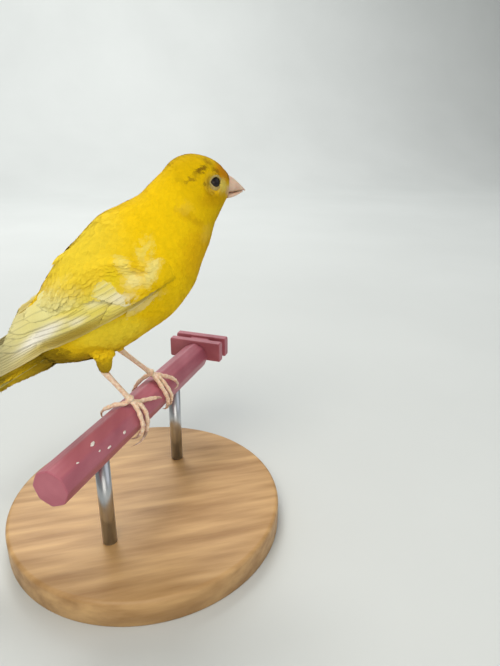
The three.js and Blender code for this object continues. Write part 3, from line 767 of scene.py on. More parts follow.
@dataclass(frozen=True)
class Vane:
    """Flight and tail feathers: barbs hooked into a web, so they show slanting lines and shine like silk."""

    name: str = "feather_locked_barbs"
    barb: float = 0.55  # mm between barbs, drawn about four times as coarse as real ones so that they show
    contrast: float = 0.035  # how much lighter a barb is than the groove beside it
    slant: float = 2.2  # mm that a barb runs outwards to the vane's edge
    wander: float = 1.6  # mm that the barbs wander from straight lines

    def material(self) -> Material:
        """Builds the material from each vane's pigment and its measures along and across.

        Returns:
            The material.
        """
        made, tree = start_material(self.name)
        names = ("pigment", "along", "across")
        read = {name: add(tree, "ShaderNodeAttribute", attribute_name=name) for name in names}
        place = add(tree, "ShaderNodeTexCoord")["Object"]
        wander = add(tree, "ShaderNodeTexNoise", {"Vector": place, "Scale": 300.0, "Detail": 2.0})["Fac"]
        side = add(tree, "ShaderNodeMath", {0: read["across"]["Fac"]}, operation="ABSOLUTE")[0]
        run = read["along"]["Fac"]
        for value, factor in ((side, -self.slant), (wander, self.wander)):
            part = {0: value, 1: factor, 2: run}
            run = add(tree, "ShaderNodeMath", part, operation="MULTIPLY_ADD")[0]
        turns = add(tree, "ShaderNodeMath", {0: run, 1: 2 * math.pi / self.barb}, operation="MULTIPLY")
        barbs = add(tree, "ShaderNodeMath", {0: turns[0]}, operation="SINE")[0]
        dark = {"Value": side, "From Min": 0.03, "From Max": 0.1, "To Min": 0.82, "To Max": 1.0}
        shaft = add(tree, "ShaderNodeMapRange", dark)[0]
        part = {0: barbs, 1: self.contrast, 2: shaft}
        light = add(tree, "ShaderNodeMath", part, operation="MULTIPLY_ADD")[0]
        colour = add(tree, "ShaderNodeHueSaturation", {"Color": read["pigment"]["Color"], "Value": light})
        bump = add(tree, "ShaderNodeBump", {"Height": barbs, "Strength": 0.2, "Distance": 0.00006})
        look = {
            "Base Color": colour[0],
            "Normal": bump[0],
            "Roughness": 0.6,
            "Specular IOR Level": 0.35,
            "Sheen Weight": 0.2,
            "Sheen Roughness": 0.4,
            "Sheen Tint": linear("#fffbe0"),
        }
        shader = add(tree, "ShaderNodeBsdfPrincipled", look)
        add(tree, "ShaderNodeOutputMaterial", {"Surface": shader[0]})
        return made


@dataclass(frozen=True)
class Grained:
    """A finish whose colour wanders between two tones over a real distance, with a fine relief."""

    name: str
    low: str
    high: str
    patch: float  # mm across a patch of one tone
    grit: float  # mm across a grain of the relief
    roughness: float
    relief: float = 0.2
    depth: float = 0.05  # mm
    stretch: Triple = (1, 1, 1)
    turn: float = 0.0  # degrees that the stretch is turned about the upright
    metallic: float = 0.0
    coat: float = 0.0
    subsurface: float = 0.0
    specular: float = 0.5

    def material(self) -> Material:
        """Builds the material.

        Returns:
            The material.
        """
        made, tree = start_material(self.name)
        place = add(tree, "ShaderNodeTexCoord")["Object"]
        turn = (0, 0, -math.radians(self.turn))
        turned = add(tree, "ShaderNodeMapping", {"Vector": place, "Rotation": turn, "Scale": self.stretch})[0]
        tone, grain = (
            add(tree, "ShaderNodeTexNoise", {"Vector": turned, "Scale": 1000 / size, "Detail": fine})["Fac"]
            for size, fine in ((self.patch, 5.0), (self.grit, 3.0))
        )
        colour = add(tree, "ShaderNodeValToRGB", {"Fac": tone}, stops=((0.32, self.low), (0.68, self.high)))
        worn = {"Value": grain, "To Min": self.roughness * 0.85, "To Max": min(1, self.roughness * 1.15)}
        raised = {"Height": grain, "Strength": self.relief, "Distance": self.depth * MM}
        look = {
            "Base Color": colour[0],
            "Normal": add(tree, "ShaderNodeBump", raised)[0],
            "Roughness": add(tree, "ShaderNodeMapRange", worn)[0],
            "Metallic": self.metallic,
            "Coat Weight": self.coat,
            "Coat Roughness": 0.08,
            "Specular IOR Level": self.specular,
            "Subsurface Weight": self.subsurface,
            "Subsurface Scale": 0.0008,
        }
        shader = add(tree, "ShaderNodeBsdfPrincipled", look)
        add(tree, "ShaderNodeOutputMaterial", {"Surface": shader[0]})
        return made


FINISHES: dict[str, Grained] = {
    # Horn of the bill: keratin worn smooth; light sinks in a little, so it looks waxy with a soft shine.
    "bill": Grained("horn_bill_keratin", "#c9a68c", "#dcc0a8", 2.2, 0.3, 0.42, 0.12, 0.03, subsurface=0.25),
    # Horn of the claws: thinner and harder, darker and glossier than the bill.
    "claw": Grained("horn_claw_keratin", "#b08f7a", "#d8bda8", 1.4, 0.25, 0.35, 0.15, 0.03, subsurface=0.2),
    # Scaly skin of the legs: dry plates over flesh, pinkish, matt and finely wrinkled.
    "scales": Grained("skin_scaly", "#dab394", "#f2dcc2", 0.9, 0.28, 0.5, 0.45, 0.06, subsurface=0.15),
    # Skin of the eyelids: bare and thin, matt, tinted by the feathers round it.
    "lids": Grained("skin_eyelid", "#a08a48", "#c2ae6c", 0.8, 0.2, 0.55, 0.35, 0.04, subsurface=0.15),
    # Eye: a dark iris behind a wet cornea, which gives one small sharp reflection.
    "eye": Grained("eye_wet", "#0b0604", "#1a0e09", 3.0, 1.0, 0.16, 0.0, 0.0, coat=0.15, specular=0.28),
    # Perch: moulded plastic rubbed by feet, so its shine is broken and its colour runs in long streaks.
    "plastic": Grained(
        "plastic_moulded_mauve", "#a05260", "#b56774", 9.0, 0.5, 0.42, 0.22, 0.04, (1, 0.12, 1), 57
    ),
    # Specks on the perch: dried and chalky, quite matt.
    "chalk": Grained("specks_dried_chalky", "#d9cfc8", "#f0e9e2", 0.4, 0.3, 0.85, 0.3, 0.03, specular=0.2),
    # Base of the stand: turned oak, oiled, with long grain and a low shine.
    "oak": Grained("oak_oiled", "#9c7443", "#c8a06b", 5.0, 0.6, 0.5, 0.3, 0.08, (0.12, 1, 1), 20),
    # Rods of the stand: steel brushed lengthwise, so its reflections are drawn out.
    "steel": Grained("steel_brushed", "#a9abae", "#c6c8ca", 2, 0.2, 0.3, 0.2, 0.02, (1, 1, 0.08), metallic=1),
}


# Skin and body feathers


ROOT_REACH = 0.2  # bare skin is coloured like this share of a feather's length, so it takes the painted root shade there


class Tract(IntEnum):
    """The parts that the skin is gathered from."""

    BODY = 0
    THIGH_RIGHT = 1
    THIGH_LEFT = 2
    TAIL_ROOT = 3


BODY_STRIP = 0.78  # width on the unwrap of the body, and of each thigh and the tail's root
SIDE_STRIP = 0.14


def strip(left: float, width: float, low: float, tall: float, turns: Array, run: Array) -> Array:
    """Lays the rings of a form on its own strip of the unwrap.

    Args:
        left: The strip's left edge.
        width: Its width, which goes once round the form.
        low: Its lower edge.
        tall: Its height, which goes once along the form.
        turns: The angle of each point round the form, from -pi to pi.
        run: Its share of the way along the form.

    Returns:
        The place of each point on the unwrap.
    """
    across = left + width * (turns + math.pi) / (2 * math.pi)
    return np.stack(np.broadcast_arrays(across, low + tall * run), -1)


@dataclass
class Skin:
    """One skin under the feathers of the head, neck, torso, thighs and the root of the tail."""

    body: BodyForm
    tail: TailForm
    thighs: dict[Tract, tuple[Array, Array]]
    eyes: dict[int, tuple[Array, Array]]
    markings: Markings
    wing: WingForm
    depth: float = 0.7  # mm under the plumage's surface, on the body and then on the face
    face_depth: float = 0.25
    thigh_depth: float = 0.45
    voxel: float = 0.55
    socket: tuple = (0.9, 2.0, 2.75)  # height of the socket's floor, and its inner and outer radius
    tail_run: tuple = (-3.0, 27.0)  # mm along the tail that its root covers
    # Lengths of the feathers in mm: by the body's stations, at the tail's root and end, and on the thighs.
    lengths: tuple = (6.8, 6.4, 5.8, 5.2, 4.9, 4.7, 4.4, 4.0, 3.5, 3.0, 2.5, 2.1, 1.7, 1.25, 0.85)
    tail_lengths: tuple = (5.0, 6.4)
    thigh_length: float = 1.9
    scapular_extra: float = 1.6  # how much longer the shoulder's feathers are than their neighbours
    scapular_drop: float = 0.42  # how steeply they run down over the wing

    def sheets(self) -> list[tuple[Tract, Array, Array, Array, Array]]:
        """Samples the forms.

        Returns:
            For each form its tract, points, lie of the feathers, station and place on its own unwrap,
            each laid out by rows of rings.
        """
        station = np.linspace(0, self.body.last, 260)[:, None]
        turns = np.linspace(-math.pi, math.pi, 129)
        station, sides = np.broadcast_arrays(station, turns)
        inset = -mix(self.depth, self.face_depth, smoothstep(station, 8, 12))
        points = self.body.surface(station, sides, inset)
        lie = unit(-np.gradient(points, axis=0))
        uv = strip(0.02, BODY_STRIP, 0.02, 0.96, sides, station / self.body.last)
        made = [(Tract.BODY, points, lie, station, uv)]
        rings, turns = np.linspace(0, 1, 40)[:, None], np.linspace(-math.pi, math.pi, 41)[None, :]
        for slot, (tract, (path, radii)) in enumerate(self.thighs.items()):
            middle = through(path, rings)
            size = through(radii, rings, False) - self.thigh_depth
            ahead = unit(path[-1] - path[0])
            side = unit(np.cross(ahead, abeam(ahead)))
            ring = np.cos(turns)[..., None] * side + np.sin(turns)[..., None] * np.cross(ahead, side)
            points = middle + size[..., None] * ring
            uv = strip(0.84, SIDE_STRIP, 0.02 + 0.22 * slot, 0.2, turns, rings)
            made.append((tract, points, np.broadcast_to(ahead, points.shape), 0 * rings + 3, uv))
        first, last = self.tail_run
        run, turns = np.linspace(first, last, 60)[:, None], np.linspace(-math.pi, math.pi, 65)[None, :]
        points = self.tail.root(run + 0 * turns, turns + 0 * run)
        uv = strip(0.84, SIDE_STRIP, 0.5, 0.48, turns, (run - first) / (last - first))
        made.append((Tract.TAIL_ROOT, points, np.broadcast_to(self.tail.out, points.shape), 0 * run, uv))
        return made

    def build(self) -> Object:
        """Builds the skin and gives each vertex what the feathers read.

        Returns:
            The skin.
        """
        sheets = self.sheets()
        parts = [ring_skin(grid[:, :-1]) for _, grid, *_ in sheets]  # a ring's last point is its first
        skin = mesh_object("skin", *joined(parts))
        outward(skin.data)
        remesh = skin.modifiers.new("one_skin", "REMESH")
        remesh.mode, remesh.voxel_size, remesh.use_smooth_shade = "VOXEL", self.voxel * MM, True
        smooth = skin.modifiers.new("soften", "SMOOTH")
        smooth.factor, smooth.iterations = 0.5, 4
        settle(skin)
        self.sink_sockets(skin.data)
        self.dress(skin.data, sheets)
        return skin

    def sink_sockets(self, mesh: Mesh) -> None:
        """Sinks the skin round each eye so that the ball shows between its lids.

        Args:
            mesh: The skin.
        """
        spots = vertices_of(mesh)
        floor, inner, outer = self.socket
        for centre, axis in self.eyes.values():
            offset = spots - centre
            lift = offset @ axis
            away = np.linalg.norm(offset - lift[:, None] * axis, axis=1)
            sunk = mix(floor, lift, smoothstep(away, inner, outer))
            change = np.where((lift > 0) & (away < outer), np.minimum(sunk, lift) - lift, 0)
            spots = spots + change[:, None] * axis
        mesh.vertices.foreach_set("co", ((spots + [0, 0, PERCH_HEIGHT]) * MM).astype(np.float32).ravel())
        mesh.update()

    def scapular(self, spots: Array) -> Array:
        """Returns how far each spot carries the shoulder's long feathers, which lie over the folded wing."""
        p, q = self.wing.along_across(spots)
        share = self.wing.share(p, q)
        on = smoothstep(share, 0.6, 0.85) * (1 - smoothstep(share, 1.25, 1.7)) * smoothstep(p, 1, 8)
        return on * (1 - smoothstep(p, 34, 44)) * smoothstep(np.abs(spots[:, 1]), 5, 9)

    def feather_lengths(self, spots: Array, scapular: Array) -> Array:
        """Finds how long the feathers are, in mm.

        Args:
            spots: The skin's vertices.
            scapular: How far each carries the shoulder's long feathers.

        Returns:
            One length for each vertex.
        """
        on_body = self.tract == Tract.BODY
        on_tail = self.tract == Tract.TAIL_ROOT
        length = through(self.lengths, self.station / self.body.last, False)
        run = (spots - [self.tail.x, 0, self.tail.z]) @ self.tail.out
        tail = mix(*self.tail_lengths, smoothstep(run, 10, 24))
        length = np.where(on_body, length, np.where(on_tail, tail, self.thigh_length))
        length = length + self.scapular_extra * scapular
        for path, _ in self.thighs.values():  # short where the belly meets a thigh
            bone = unit(path[-1] - path[0])
            off = spots - path[0]
            off = np.linalg.norm(off - np.clip(off @ bone, -2, 12)[:, None] * bone, axis=1)
            length = np.where(on_body, np.minimum(length, mix(2.0, 8.0, smoothstep(off, 4.0, 9.0))), length)
        return length

    def dress(self, mesh: Mesh, sheets: list) -> None:
        """Stores the lie, length, station and colour of the feathers on the skin, and its unwrap.

        Args:
            mesh: The skin.
            sheets: What sheets gave.
        """
        rows = [
            (
                grid.reshape(-1, 3),
                lie.reshape(-1, 3),
                np.broadcast_to(station, grid.shape[:2]).ravel(),
                np.full(grid[..., 0].size, tract),
                uv.reshape(-1, 2),
            )
            for tract, grid, lie, station, uv in sheets
        ]
        place, lie, station, tract, uv = map(np.concatenate, zip(*rows))
        tree = KDTree(len(place))
        for i, point in enumerate(place):
            tree.insert(point, i)
        tree.balance()
        spots = vertices_of(mesh)
        near = np.array([tree.find(spot)[1] for spot in spots])
        self.tract, self.station, self.spots = tract[near], station[near], spots
        scapular = (self.tract == Tract.BODY) * self.scapular(spots)
        self.lies = unit(mix(lie[near], self.wing.lie(self.scapular_drop), 0.8 * scapular[:, None]))
        straight = self.body.turned(spots, self.station, back=True)
        set_attribute(mesh, "lie", self.lies)
        set_attribute(mesh, "length", self.feather_lengths(spots, scapular) * MM)
        set_attribute(mesh, "pigment", self.markings.colours(straight, self.station))
        set_attribute(mesh, "reach", np.full(len(spots), ROOT_REACH))
        self.facing = normals_of(mesh)
        set_attribute(mesh, "facing", self.facing)
        self.unwrap(mesh, uv[near])

    def shown(self) -> Array:
        """Tells which vertices carry feathers: not those under the wing, bill or eyelids, or on a cut end.

        Returns:
            True or false for each vertex.
        """
        spots = self.spots
        p, q = self.wing.along_across(spots)
        share = self.wing.share(p, q)
        under = (share > 0.14) & (share < mix(1.0, 0.8, smoothstep(p, 26, 36)))
        bare = (p > -1.5) & (p < 66) & under & (np.abs(spots[:, 1]) > 4.5)
        bare |= np.abs(np.einsum("ij,ij->i", self.lies, self.facing)) > 0.72  # a cut end
        straight = self.body.turned(spots, self.station, back=True)
        bare |= straight[:, 0] > mix(33.8, 31.8, smoothstep(-straight[:, 2], -81, -77))  # inside the bill
        for centre, axis in self.eyes.values():
            offset = spots - centre
            lift = offset @ axis
            bare |= (np.linalg.norm(offset - lift[:, None] * axis, axis=1) < 2.1) & (lift > 0)
        return ~bare

    def tracts(self) -> tuple[tuple[str, Array, float, float], ...]:
        """Lists the coat's tracts.

        Returns:
            Name, which vertices, mm between roots and degrees that the feathers stand up.
        """
        station, tract = self.station, self.tract
        body = tract == Tract.BODY
        thighs = (tract == Tract.THIGH_RIGHT) | (tract == Tract.THIGH_LEFT)
        upper = self.spots[:, 2] > self.body.section(station)[0][:, 2] + 1.0
        trunk = body & (station <= 7.8)
        return (
            ("face", body & (station > 12.0), 0.22, 4.5),
            ("head", body & (station <= 12.0) & (station > 10.0), 0.28, 4.5),
            ("neck", body & (station <= 10.0) & (station > 7.8), 0.35, 4.5),
            ("back", trunk & upper, 0.45, 3.5),
            ("breast", trunk & (station > 5.2) & ~upper, 0.43, 4.5),
            ("belly", body & (station <= 5.2) & ~upper, 0.46, 4.5),
            ("rump", tract == Tract.TAIL_ROOT, 0.45, 1.5),
            ("thighs", thighs, 0.34, 4.0),
        )

    def unwrap(self, mesh: Mesh, uv: Array) -> None:
        """Stores the skin's unwrap, with each face kept whole where it crosses a strip's edge.

        Args:
            mesh: The skin.
            uv: The place of each vertex on the unwrap.
        """
        corners = corners_of(mesh)
        face = np.repeat(np.arange(len(mesh.polygons)), [p.loop_total for p in mesh.polygons])
        first = np.array([p.loop_start for p in mesh.polygons])[face]
        own = uv[corners]
        head = own[first]
        stray = self.tract[corners] != self.tract[corners[first]]
        own = np.where(stray[:, None], head, own)
        width = np.where(self.tract[corners] == Tract.BODY, BODY_STRIP, SIDE_STRIP)
        own[:, 0] += np.round((head[:, 0] - own[:, 0]) / width) * width
        set_unwrap(mesh, own)


@dataclass(frozen=True)
class ContourFeather:
    """One small body feather of length 1: a rounded vane whose barbs part into loose ends."""

    seed: int
    barbs: int = 12
    width: float = 0.30
    rows: tuple = (  # how far along, share of the width
        (0.0, 0.15), (0.22, 0.6), (0.48, 0.95), (0.72, 0.9), (0.88, 0.5),
    )
    arch: float = 0.065  # how high the vane arches along its length, droops at its tip and curls at its edges
    droop: float = 0.03
    curl: float = 0.14

    def height(self, x: float, y: float) -> float:
        """Returns how high the vane stands at a place across and along it."""
        return self.arch * math.sin(math.pi * 0.85 * y) - self.droop * y * y - self.curl * x * x

    def build(self) -> Object:
        """Builds the feather with its root at the origin and its tip along +Y.

        Returns:
            The feather, not linked to the scene.
        """
        rng = np.random.default_rng(self.seed)
        points, faces = [], quads(len(self.rows), 3).tolist()
        lean = rng.uniform(-0.04, 0.04)
        for y, wide in self.rows:
            for edge in (-1, 0, 1):
                x = edge * self.width * wide * rng.uniform(0.9, 1.1) + lean * y
                points.append((x, y, self.height(x, y)))
        for k in range(self.barbs):
            turn = mix(-1, 1, (k + 0.5) / self.barbs)
            y = mix(0.9, 0.42, abs(turn) ** 1.3)
            root = np.array([turn * self.width * mix(0.35, 0.9, min(1, abs(turn) * 1.6)), y])
            ahead = unit(np.array([math.sin(turn * 0.9) + rng.uniform(-0.2, 0.2), math.cos(turn * 0.9)]))
            side = np.array([ahead[1], -ahead[0]]) * 0.035
            tip = root + ahead * rng.uniform(0.1, 0.19)
            faces.append(tuple(range(len(points), len(points) + 3)))
            for x, y in (root - side - ahead * 0.06, root + side - ahead * 0.06, tip):
                points.append((x, y, self.height(x, y) + rng.uniform(-0.01, 0.02)))
        mesh = bpy.data.meshes.new(f"contour_feather_{self.seed}")
        mesh.from_pydata(points, [], faces)
        mesh.polygons.foreach_set("use_smooth", [True] * len(faces))
        x, y, _ = np.array(points).T
        set_attribute(mesh, "reach", np.clip(y, 0, 1))
        set_attribute(mesh, "patch", np.stack([x, y - 0.5, 0 * x], 1))
        return bpy.data.objects.new(mesh.name, mesh)


@dataclass
class Coat:
    """Lays small feathers over a skin, like tiles, along the lie that the skin carries."""

    material: Material
    patch: float = 0.003  # how far one feather reaches on the unwrap
    crowd: float = 1.4e7  # most roots in a square metre
    kinds: bpy.types.Collection = field(init=False)
    tree: bpy.types.NodeTree = field(init=False)

    def __post_init__(self) -> None:
        """Builds the kinds of feather and the node tree that lays them."""
        self.kinds = bpy.data.collections.new("contour_feathers")
        for seed in range(6):
            self.kinds.objects.link(ContourFeather(seed).build())
        self.tree = self.plan()

    def plan(self) -> bpy.types.NodeTree:
        """Builds the node tree, with inputs for spacing, lift and seed.

        Returns:
            The tree.
        """
        tree = bpy.data.node_groups.new("lay_feathers", "GeometryNodeTree")
        face = tree.interface
        face.new_socket("Geometry", in_out="INPUT", socket_type="NodeSocketGeometry")
        for name, kind in (("Spacing", "Float"), ("Lift", "Float"), ("Seed", "Int")):
            face.new_socket(name, in_out="INPUT", socket_type=f"NodeSocket{kind}")
        face.new_socket("Geometry", in_out="OUTPUT", socket_type="NodeSocketGeometry")
        start = add(tree, "NodeGroupInput")
        vectors = ("OFBake", "lie", "root", "patch")
        read = {}
        for name in (*vectors, "cover", "length"):
            kind = "FLOAT_VECTOR" if name in vectors else "FLOAT"
            source = add(tree, "GeometryNodeInputNamedAttribute", {"Name": name}, data_type=kind)
            read[name] = source["Attribute"]
        number = add(tree, "GeometryNodeInputIndex")[0]
        chance = {  # what differs from one feather to the next, between which values, and its seed
            name: add(tree, "FunctionNodeRandomValue", {2: low, 3: high, "ID": number, "Seed": seed})[1]
            for name, low, high, seed in (
                ("shade", -1.0, 1.0, 11), ("lift", 0.8, 1.25, 12), ("roll", -0.04, 0.04, 13),
                ("turn", -0.2, 0.2, 14), ("length", 0.86, 1.14, 15), ("width", 0.85, 1.2, 16),
            )
        }
        sown = {
            "Mesh": start["Geometry"],
            "Distance Min": start["Spacing"],
            "Density Max": self.crowd,
            "Density Factor": read["cover"],
            "Seed": start["Seed"],
        }
        roots = add(tree, "GeometryNodeDistributePointsOnFaces", sown, distribute_method="POISSON")
        points = roots["Points"]
        for name, value, kind in (
            ("root", read["OFBake"], "FLOAT_VECTOR"),
            ("shade", chance["shade"], "FLOAT"),
            ("facing", roots["Normal"], "FLOAT_VECTOR"),
        ):
            store = {"Geometry": points, "Name": name, "Value": value}
            points = add(tree, "GeometryNodeStoreNamedAttribute", store, data_type=kind, domain="POINT")[0]
        axes = {"Primary Axis": roots["Normal"], "Secondary Axis": read["lie"]}
        lying = add(tree, "FunctionNodeAxesToRotation", axes, primary_axis="Z", secondary_axis="Y")[0]
        lift, size = (
            add(tree, "ShaderNodeMath", {0: value, 1: change}, operation="MULTIPLY")[0]
            for value, change in ((start["Lift"], chance["lift"]), (read["length"], chance["length"]))
        )
        wide = add(tree, "ShaderNodeMath", {0: size, 1: chance["width"]}, operation="MULTIPLY")[0]
        tilt, scale = (
            add(tree, "ShaderNodeCombineXYZ", dict(enumerate(parts)))[0]
            for parts in ((lift, chance["roll"], chance["turn"]), (wide, size, size))
        )
        turn = add(tree, "FunctionNodeEulerToRotation", {0: tilt})[0]
        turned = add(tree, "FunctionNodeRotateRotation", {0: lying, 1: turn}, rotation_space="LOCAL")
        kinds = {"Collection": self.kinds, "Separate Children": True, "Reset Children": True}
        last = len(self.kinds.objects) - 1
        pick = add(tree, "FunctionNodeRandomValue", {4: 0, 5: last, "ID": number, "Seed": 17}, data_type="INT")
        feathers = {
            "Points": points,
            "Instance": add(tree, "GeometryNodeCollectionInfo", kinds)[0],
            "Pick Instance": True,
            "Instance Index": pick[2],
            "Rotation": turned[0],
            "Scale": scale,
        }
        laid = add(tree, "GeometryNodeInstanceOnPoints", feathers)[0]
        real = add(tree, "GeometryNodeRealizeInstances", {"Geometry": laid})[0]
        patch = {0: read["patch"], "Scale": self.patch}
        spread = add(tree, "ShaderNodeVectorMath", patch, operation="SCALE")[0]
        unwrap = add(tree, "ShaderNodeVectorMath", {0: read["root"], 1: spread}, operation="ADD")[0]
        store = {"Geometry": real, "Name": "OFBake", "Value": unwrap}
        mapped = add(tree, "GeometryNodeStoreNamedAttribute", store, data_type="FLOAT2", domain="CORNER")[0]
        dressed = add(tree, "GeometryNodeSetMaterial", {"Geometry": mapped, "Material": self.material})
        add(tree, "NodeGroupOutput", {0: dressed[0]})
        return tree

    def lay(
        self, name: str, skin: Object, cover: Array, spacing: float, lift: float, seed: int
    ) -> Object:
        """Lays feathers over part of a skin.

        Args:
            name: The new piece's name.
            skin: The skin, with lie, length and pigment on its vertices.
            cover: How thickly each vertex is covered, 0 to 1.
            spacing: The least distance between two roots, in mm.
            lift: How far the feathers stand up from the skin, in degrees.
            seed: Sets where the roots fall.

        Returns:
            The feathers as one plain mesh.
        """
        set_attribute(skin.data, "cover", cover)
        carrier = linked(name, skin.data.copy())
        layer = carrier.modifiers.new("feathers", "NODES")
        layer.node_group = self.tree
        values = {"Spacing": spacing * MM, "Lift": math.radians(lift), "Seed": seed}
        for item in self.tree.interface.items_tree:
            if item.in_out == "INPUT" and item.name in values:
                layer[item.identifier] = values[item.name]
        settle(carrier)
        for spare in ("root", "patch", "cover", "length", "lie"):
            if spare in carrier.data.attributes:
                carrier.data.attributes.remove(carrier.data.attributes[spare])
        log.info("%s: %d feather faces", name, len(carrier.data.polygons))
        return carrier


# Wings and tail


class Kind(Enum):
    """The kinds of large feather: colours near the root, towards the tip and along the lower edge."""

    PRIMARY = ("#dcc860", "#cfc8a0", "#e2d28a")
    SECONDARY = ("#e2d072", "#e4da9e", "#efe6bc")
    TERTIAL = ("#e8d670", "#e8dfa6", "#efe6b8")
    ALULA = ("#e4cc4c", "#e6d888", "#ecdfa0")
    PRIMARY_COVERT = ("#e2c538", "#e4d36c", "#e8d880")
    GREATER_COVERT = ("#ead25a", "#f2eaca", "#f4eed2")
    # the tail's olive is darkened with painted shade, where the tail lies under the body
    TAIL = ("#9c8f38", "#a0985a", "#b4ac66")


@dataclass(frozen=True)
class LargeFeather:
    """One vane, placed by its root and tip along and across the wing or tail."""

    kind: Kind
    root: Pair
    tip: Pair
    half: float  # half its width
    lift: float  # how high it lies, from a little way off its root
    tilt: float  # how much higher its lower edge lies than its middle
    level: float = 0.0
    root_lift: float = -0.9
    thickness: float = 0.11
    rachis: float = 0.07  # height of the shaft and of the crown of the vane
    points: tuple = (22, 9)  # how many lie along it and across it
    outline: tuple = (  # share of the length, share of the width
        (0, 0.45), (0.12, 0.75), (0.4, 1), (0.72, 0.98), (0.88, 0.86), (0.95, 0.66), (0.985, 0.4), (1, 0.14),
    )

    def build(
        self,
        place: Callable[[Array, Array, Array], Array],
        floor: Callable[[Array, Array], Array],
        rng: np.random.Generator,
        tint: Callable[[Array, Array, Array], Array] = lambda p, q, base: base,
    ) -> dict[str, Array]:
        """Builds the vane as a thin closed sheet.

        Args:
            place: Maps along, across and height to space.
            floor: Gives the height that the vane lies on.
            rng: Roughens the edges.
            tint: Changes the colours by their place along and across.

        Returns:
            Its points and faces, and the along, across and pigment of each point.
        """
        rows, columns = self.points
        share = np.linspace(0, 1, rows)[:, None] ** 0.85
        edge = np.linspace(-1, 1, columns)[None, :]
        shape = np.interp(share, *zip(*self.outline))
        long = self.tip[0] - self.root[0]
        ragged = rng.uniform(-0.07, 0.05, (rows, columns)) * (np.abs(edge) > 0.95) * smoothstep(share, 0.2, 0.5)
        across = mix(self.root[1], self.tip[1], share) + edge * self.half * shape * (1 + ragged)
        back = np.abs(edge) ** 1.6 * long * 0.03 * smoothstep(share, 0.86, 1)
        frayed = rng.uniform(-0.25, 0.15, (rows, columns)) * (share > 0.97)
        along = mix(self.root[0], self.tip[0], share) - back + frayed
        rise = mix(self.root_lift, self.lift, np.minimum(1, share * 2.2))
        crown = self.rachis * (0.6 * np.exp(-((edge / 0.12) ** 2)) + (1 - edge**2))
        height = floor(along, across) + self.level + rise - edge * self.tilt * shape + crown
        upper = place(along, across, height)
        lower = place(along, across, height - self.thickness)
        count = rows * columns
        grid = np.arange(count).reshape(rows, columns)
        top = quads(rows, columns)
        rim = [*grid[0], *grid[1:, -1], *grid[-1, -2::-1], *grid[-2:0:-1, 0]]
        wall = [(p, p + count, q + count, q) for p, q in zip(rim, rim[1:] + rim[:1])]
        low, high, edged = (np.array(linear(code)) for code in self.kind.value)
        tone = mix(low, high, smoothstep(share, 0.35, 0.95)[..., None])
        rim_share = smoothstep(-edge, 0.35, 0.95) * (1 - 0.5 * smoothstep(share, 0.8, 1))
        tone = mix(tone, edged, rim_share[..., None]) * rng.uniform(0.95, 1.04)
        tone = tint(along, across, np.broadcast_to(tone, (rows, columns, 4))).reshape(-1, 4)
        flat = lambda v: np.tile(np.broadcast_to(v, (rows, columns)).ravel(), 2)
        return {
            "points": np.concatenate([upper.reshape(-1, 3), lower.reshape(-1, 3)]),
            "faces": [*map(tuple, top), *map(tuple, top[:, ::-1] + count), *wall],
            "along": flat(mix(0, long, share)),
            "across": flat(edge * shape),
            "pigment": np.tile(tone, (2, 1)),
        }


def feather_object(
    name: str, vanes: list[dict[str, Array]], material: Material, mirror: bool
) -> Object:
    """Joins vanes into one piece, each with its own strip of the unwrap.

    Args:
        name: The piece's name.
        vanes: What LargeFeather.build gave for each vane.
        material: Its finish.
        mirror: Whether it is turned over to the left side.

    Returns:
        The piece.
    """
    strips = []
    for n, vane in enumerate(vanes):
        run = vane["along"] / max(vane["along"].max(), 1)
        under = np.repeat([0, 0.5], len(run) // 2)
        strips.append(np.stack([(n + 0.25 + 0.22 * vane["across"] + under) / len(vanes), 0.02 + 0.96 * run], 1))
    points, faces = joined((vane["points"], vane["faces"]) for vane in vanes)
    made = finished(name, points * [1, -1 if mirror else 1, 1], faces, material, merge=0)
    for key in ("along", "across", "pigment"):
        set_attribute(made.data, key, np.concatenate([vane[key] for vane in vanes]))
    set_unwrap(made.data, np.concatenate(strips)[corners_of(made.data)])
    return made


@dataclass(frozen=True)
class Tier:
    """A row of like feathers in the wing, each set off from the one before by a step, in mm."""

    kind: Kind
    count: int
    root: Pair
    root_step: Pair
    tip: Pair
    tip_step: Pair
    half: float
    lift: float
    lift_step: float
    tilt: float
    bow: float = 0.0  # how fast the tips fall back on both sides of the longest one

    def feathers(self) -> list[LargeFeather]:
        """Lists the feathers from the wing's lower edge upwards.

        Returns:
            The feathers.
        """
        made = []
        for i in range(self.count):
            root = (self.root[0] + self.root_step[0] * i, self.root[1] + self.root_step[1] * i)
            bow = self.bow * (i - 1.1) ** 2
            tip = (self.tip[0] + self.tip_step[0] * i - bow, self.tip[1] + self.tip_step[1] * i)
            lift = self.lift + self.lift_step * i
            made.append(LargeFeather(self.kind, root, tip, self.half, lift, self.tilt))
        return made


TIERS: tuple[Tier, ...] = (  # from the longest feathers to the smallest
    Tier(Kind.PRIMARY, 8, (9, -2.9), (0.6, 0.6), (75, -2.1), (0, 0.72), 1.8, 0.2, 0.05, 0.09, 0.28),
    Tier(Kind.SECONDARY, 5, (14, 0.6), (1, 1.4), (59, 2.8), (-2.3, 1.35), 2.4, 0.7, 0.03, 0.1),
    Tier(Kind.TERTIAL, 3, (18, 6.4), (1, 1.9), (52, 6.2), (-6.5, 1.7), 2.8, 0.9, 0.06, 0.12),
    Tier(Kind.ALULA, 2, (0.5, -2.6), (1, 0.5), (15.5, -4.0), (-3, 0.8), 1.0, 0.35, 0.08, 0.12),
    Tier(Kind.PRIMARY_COVERT, 4, (4, -2.8), (1, 0.7), (25, -3.2), (-1.5, 0.85), 1.2, 0.2, 0.06, 0.12),
    Tier(Kind.GREATER_COVERT, 6, (3, -0.6), (1.1, 1.75), (16, -1.2), (1.5, 1.75), 1.6, 0.45, 0.0, 0.1),
)


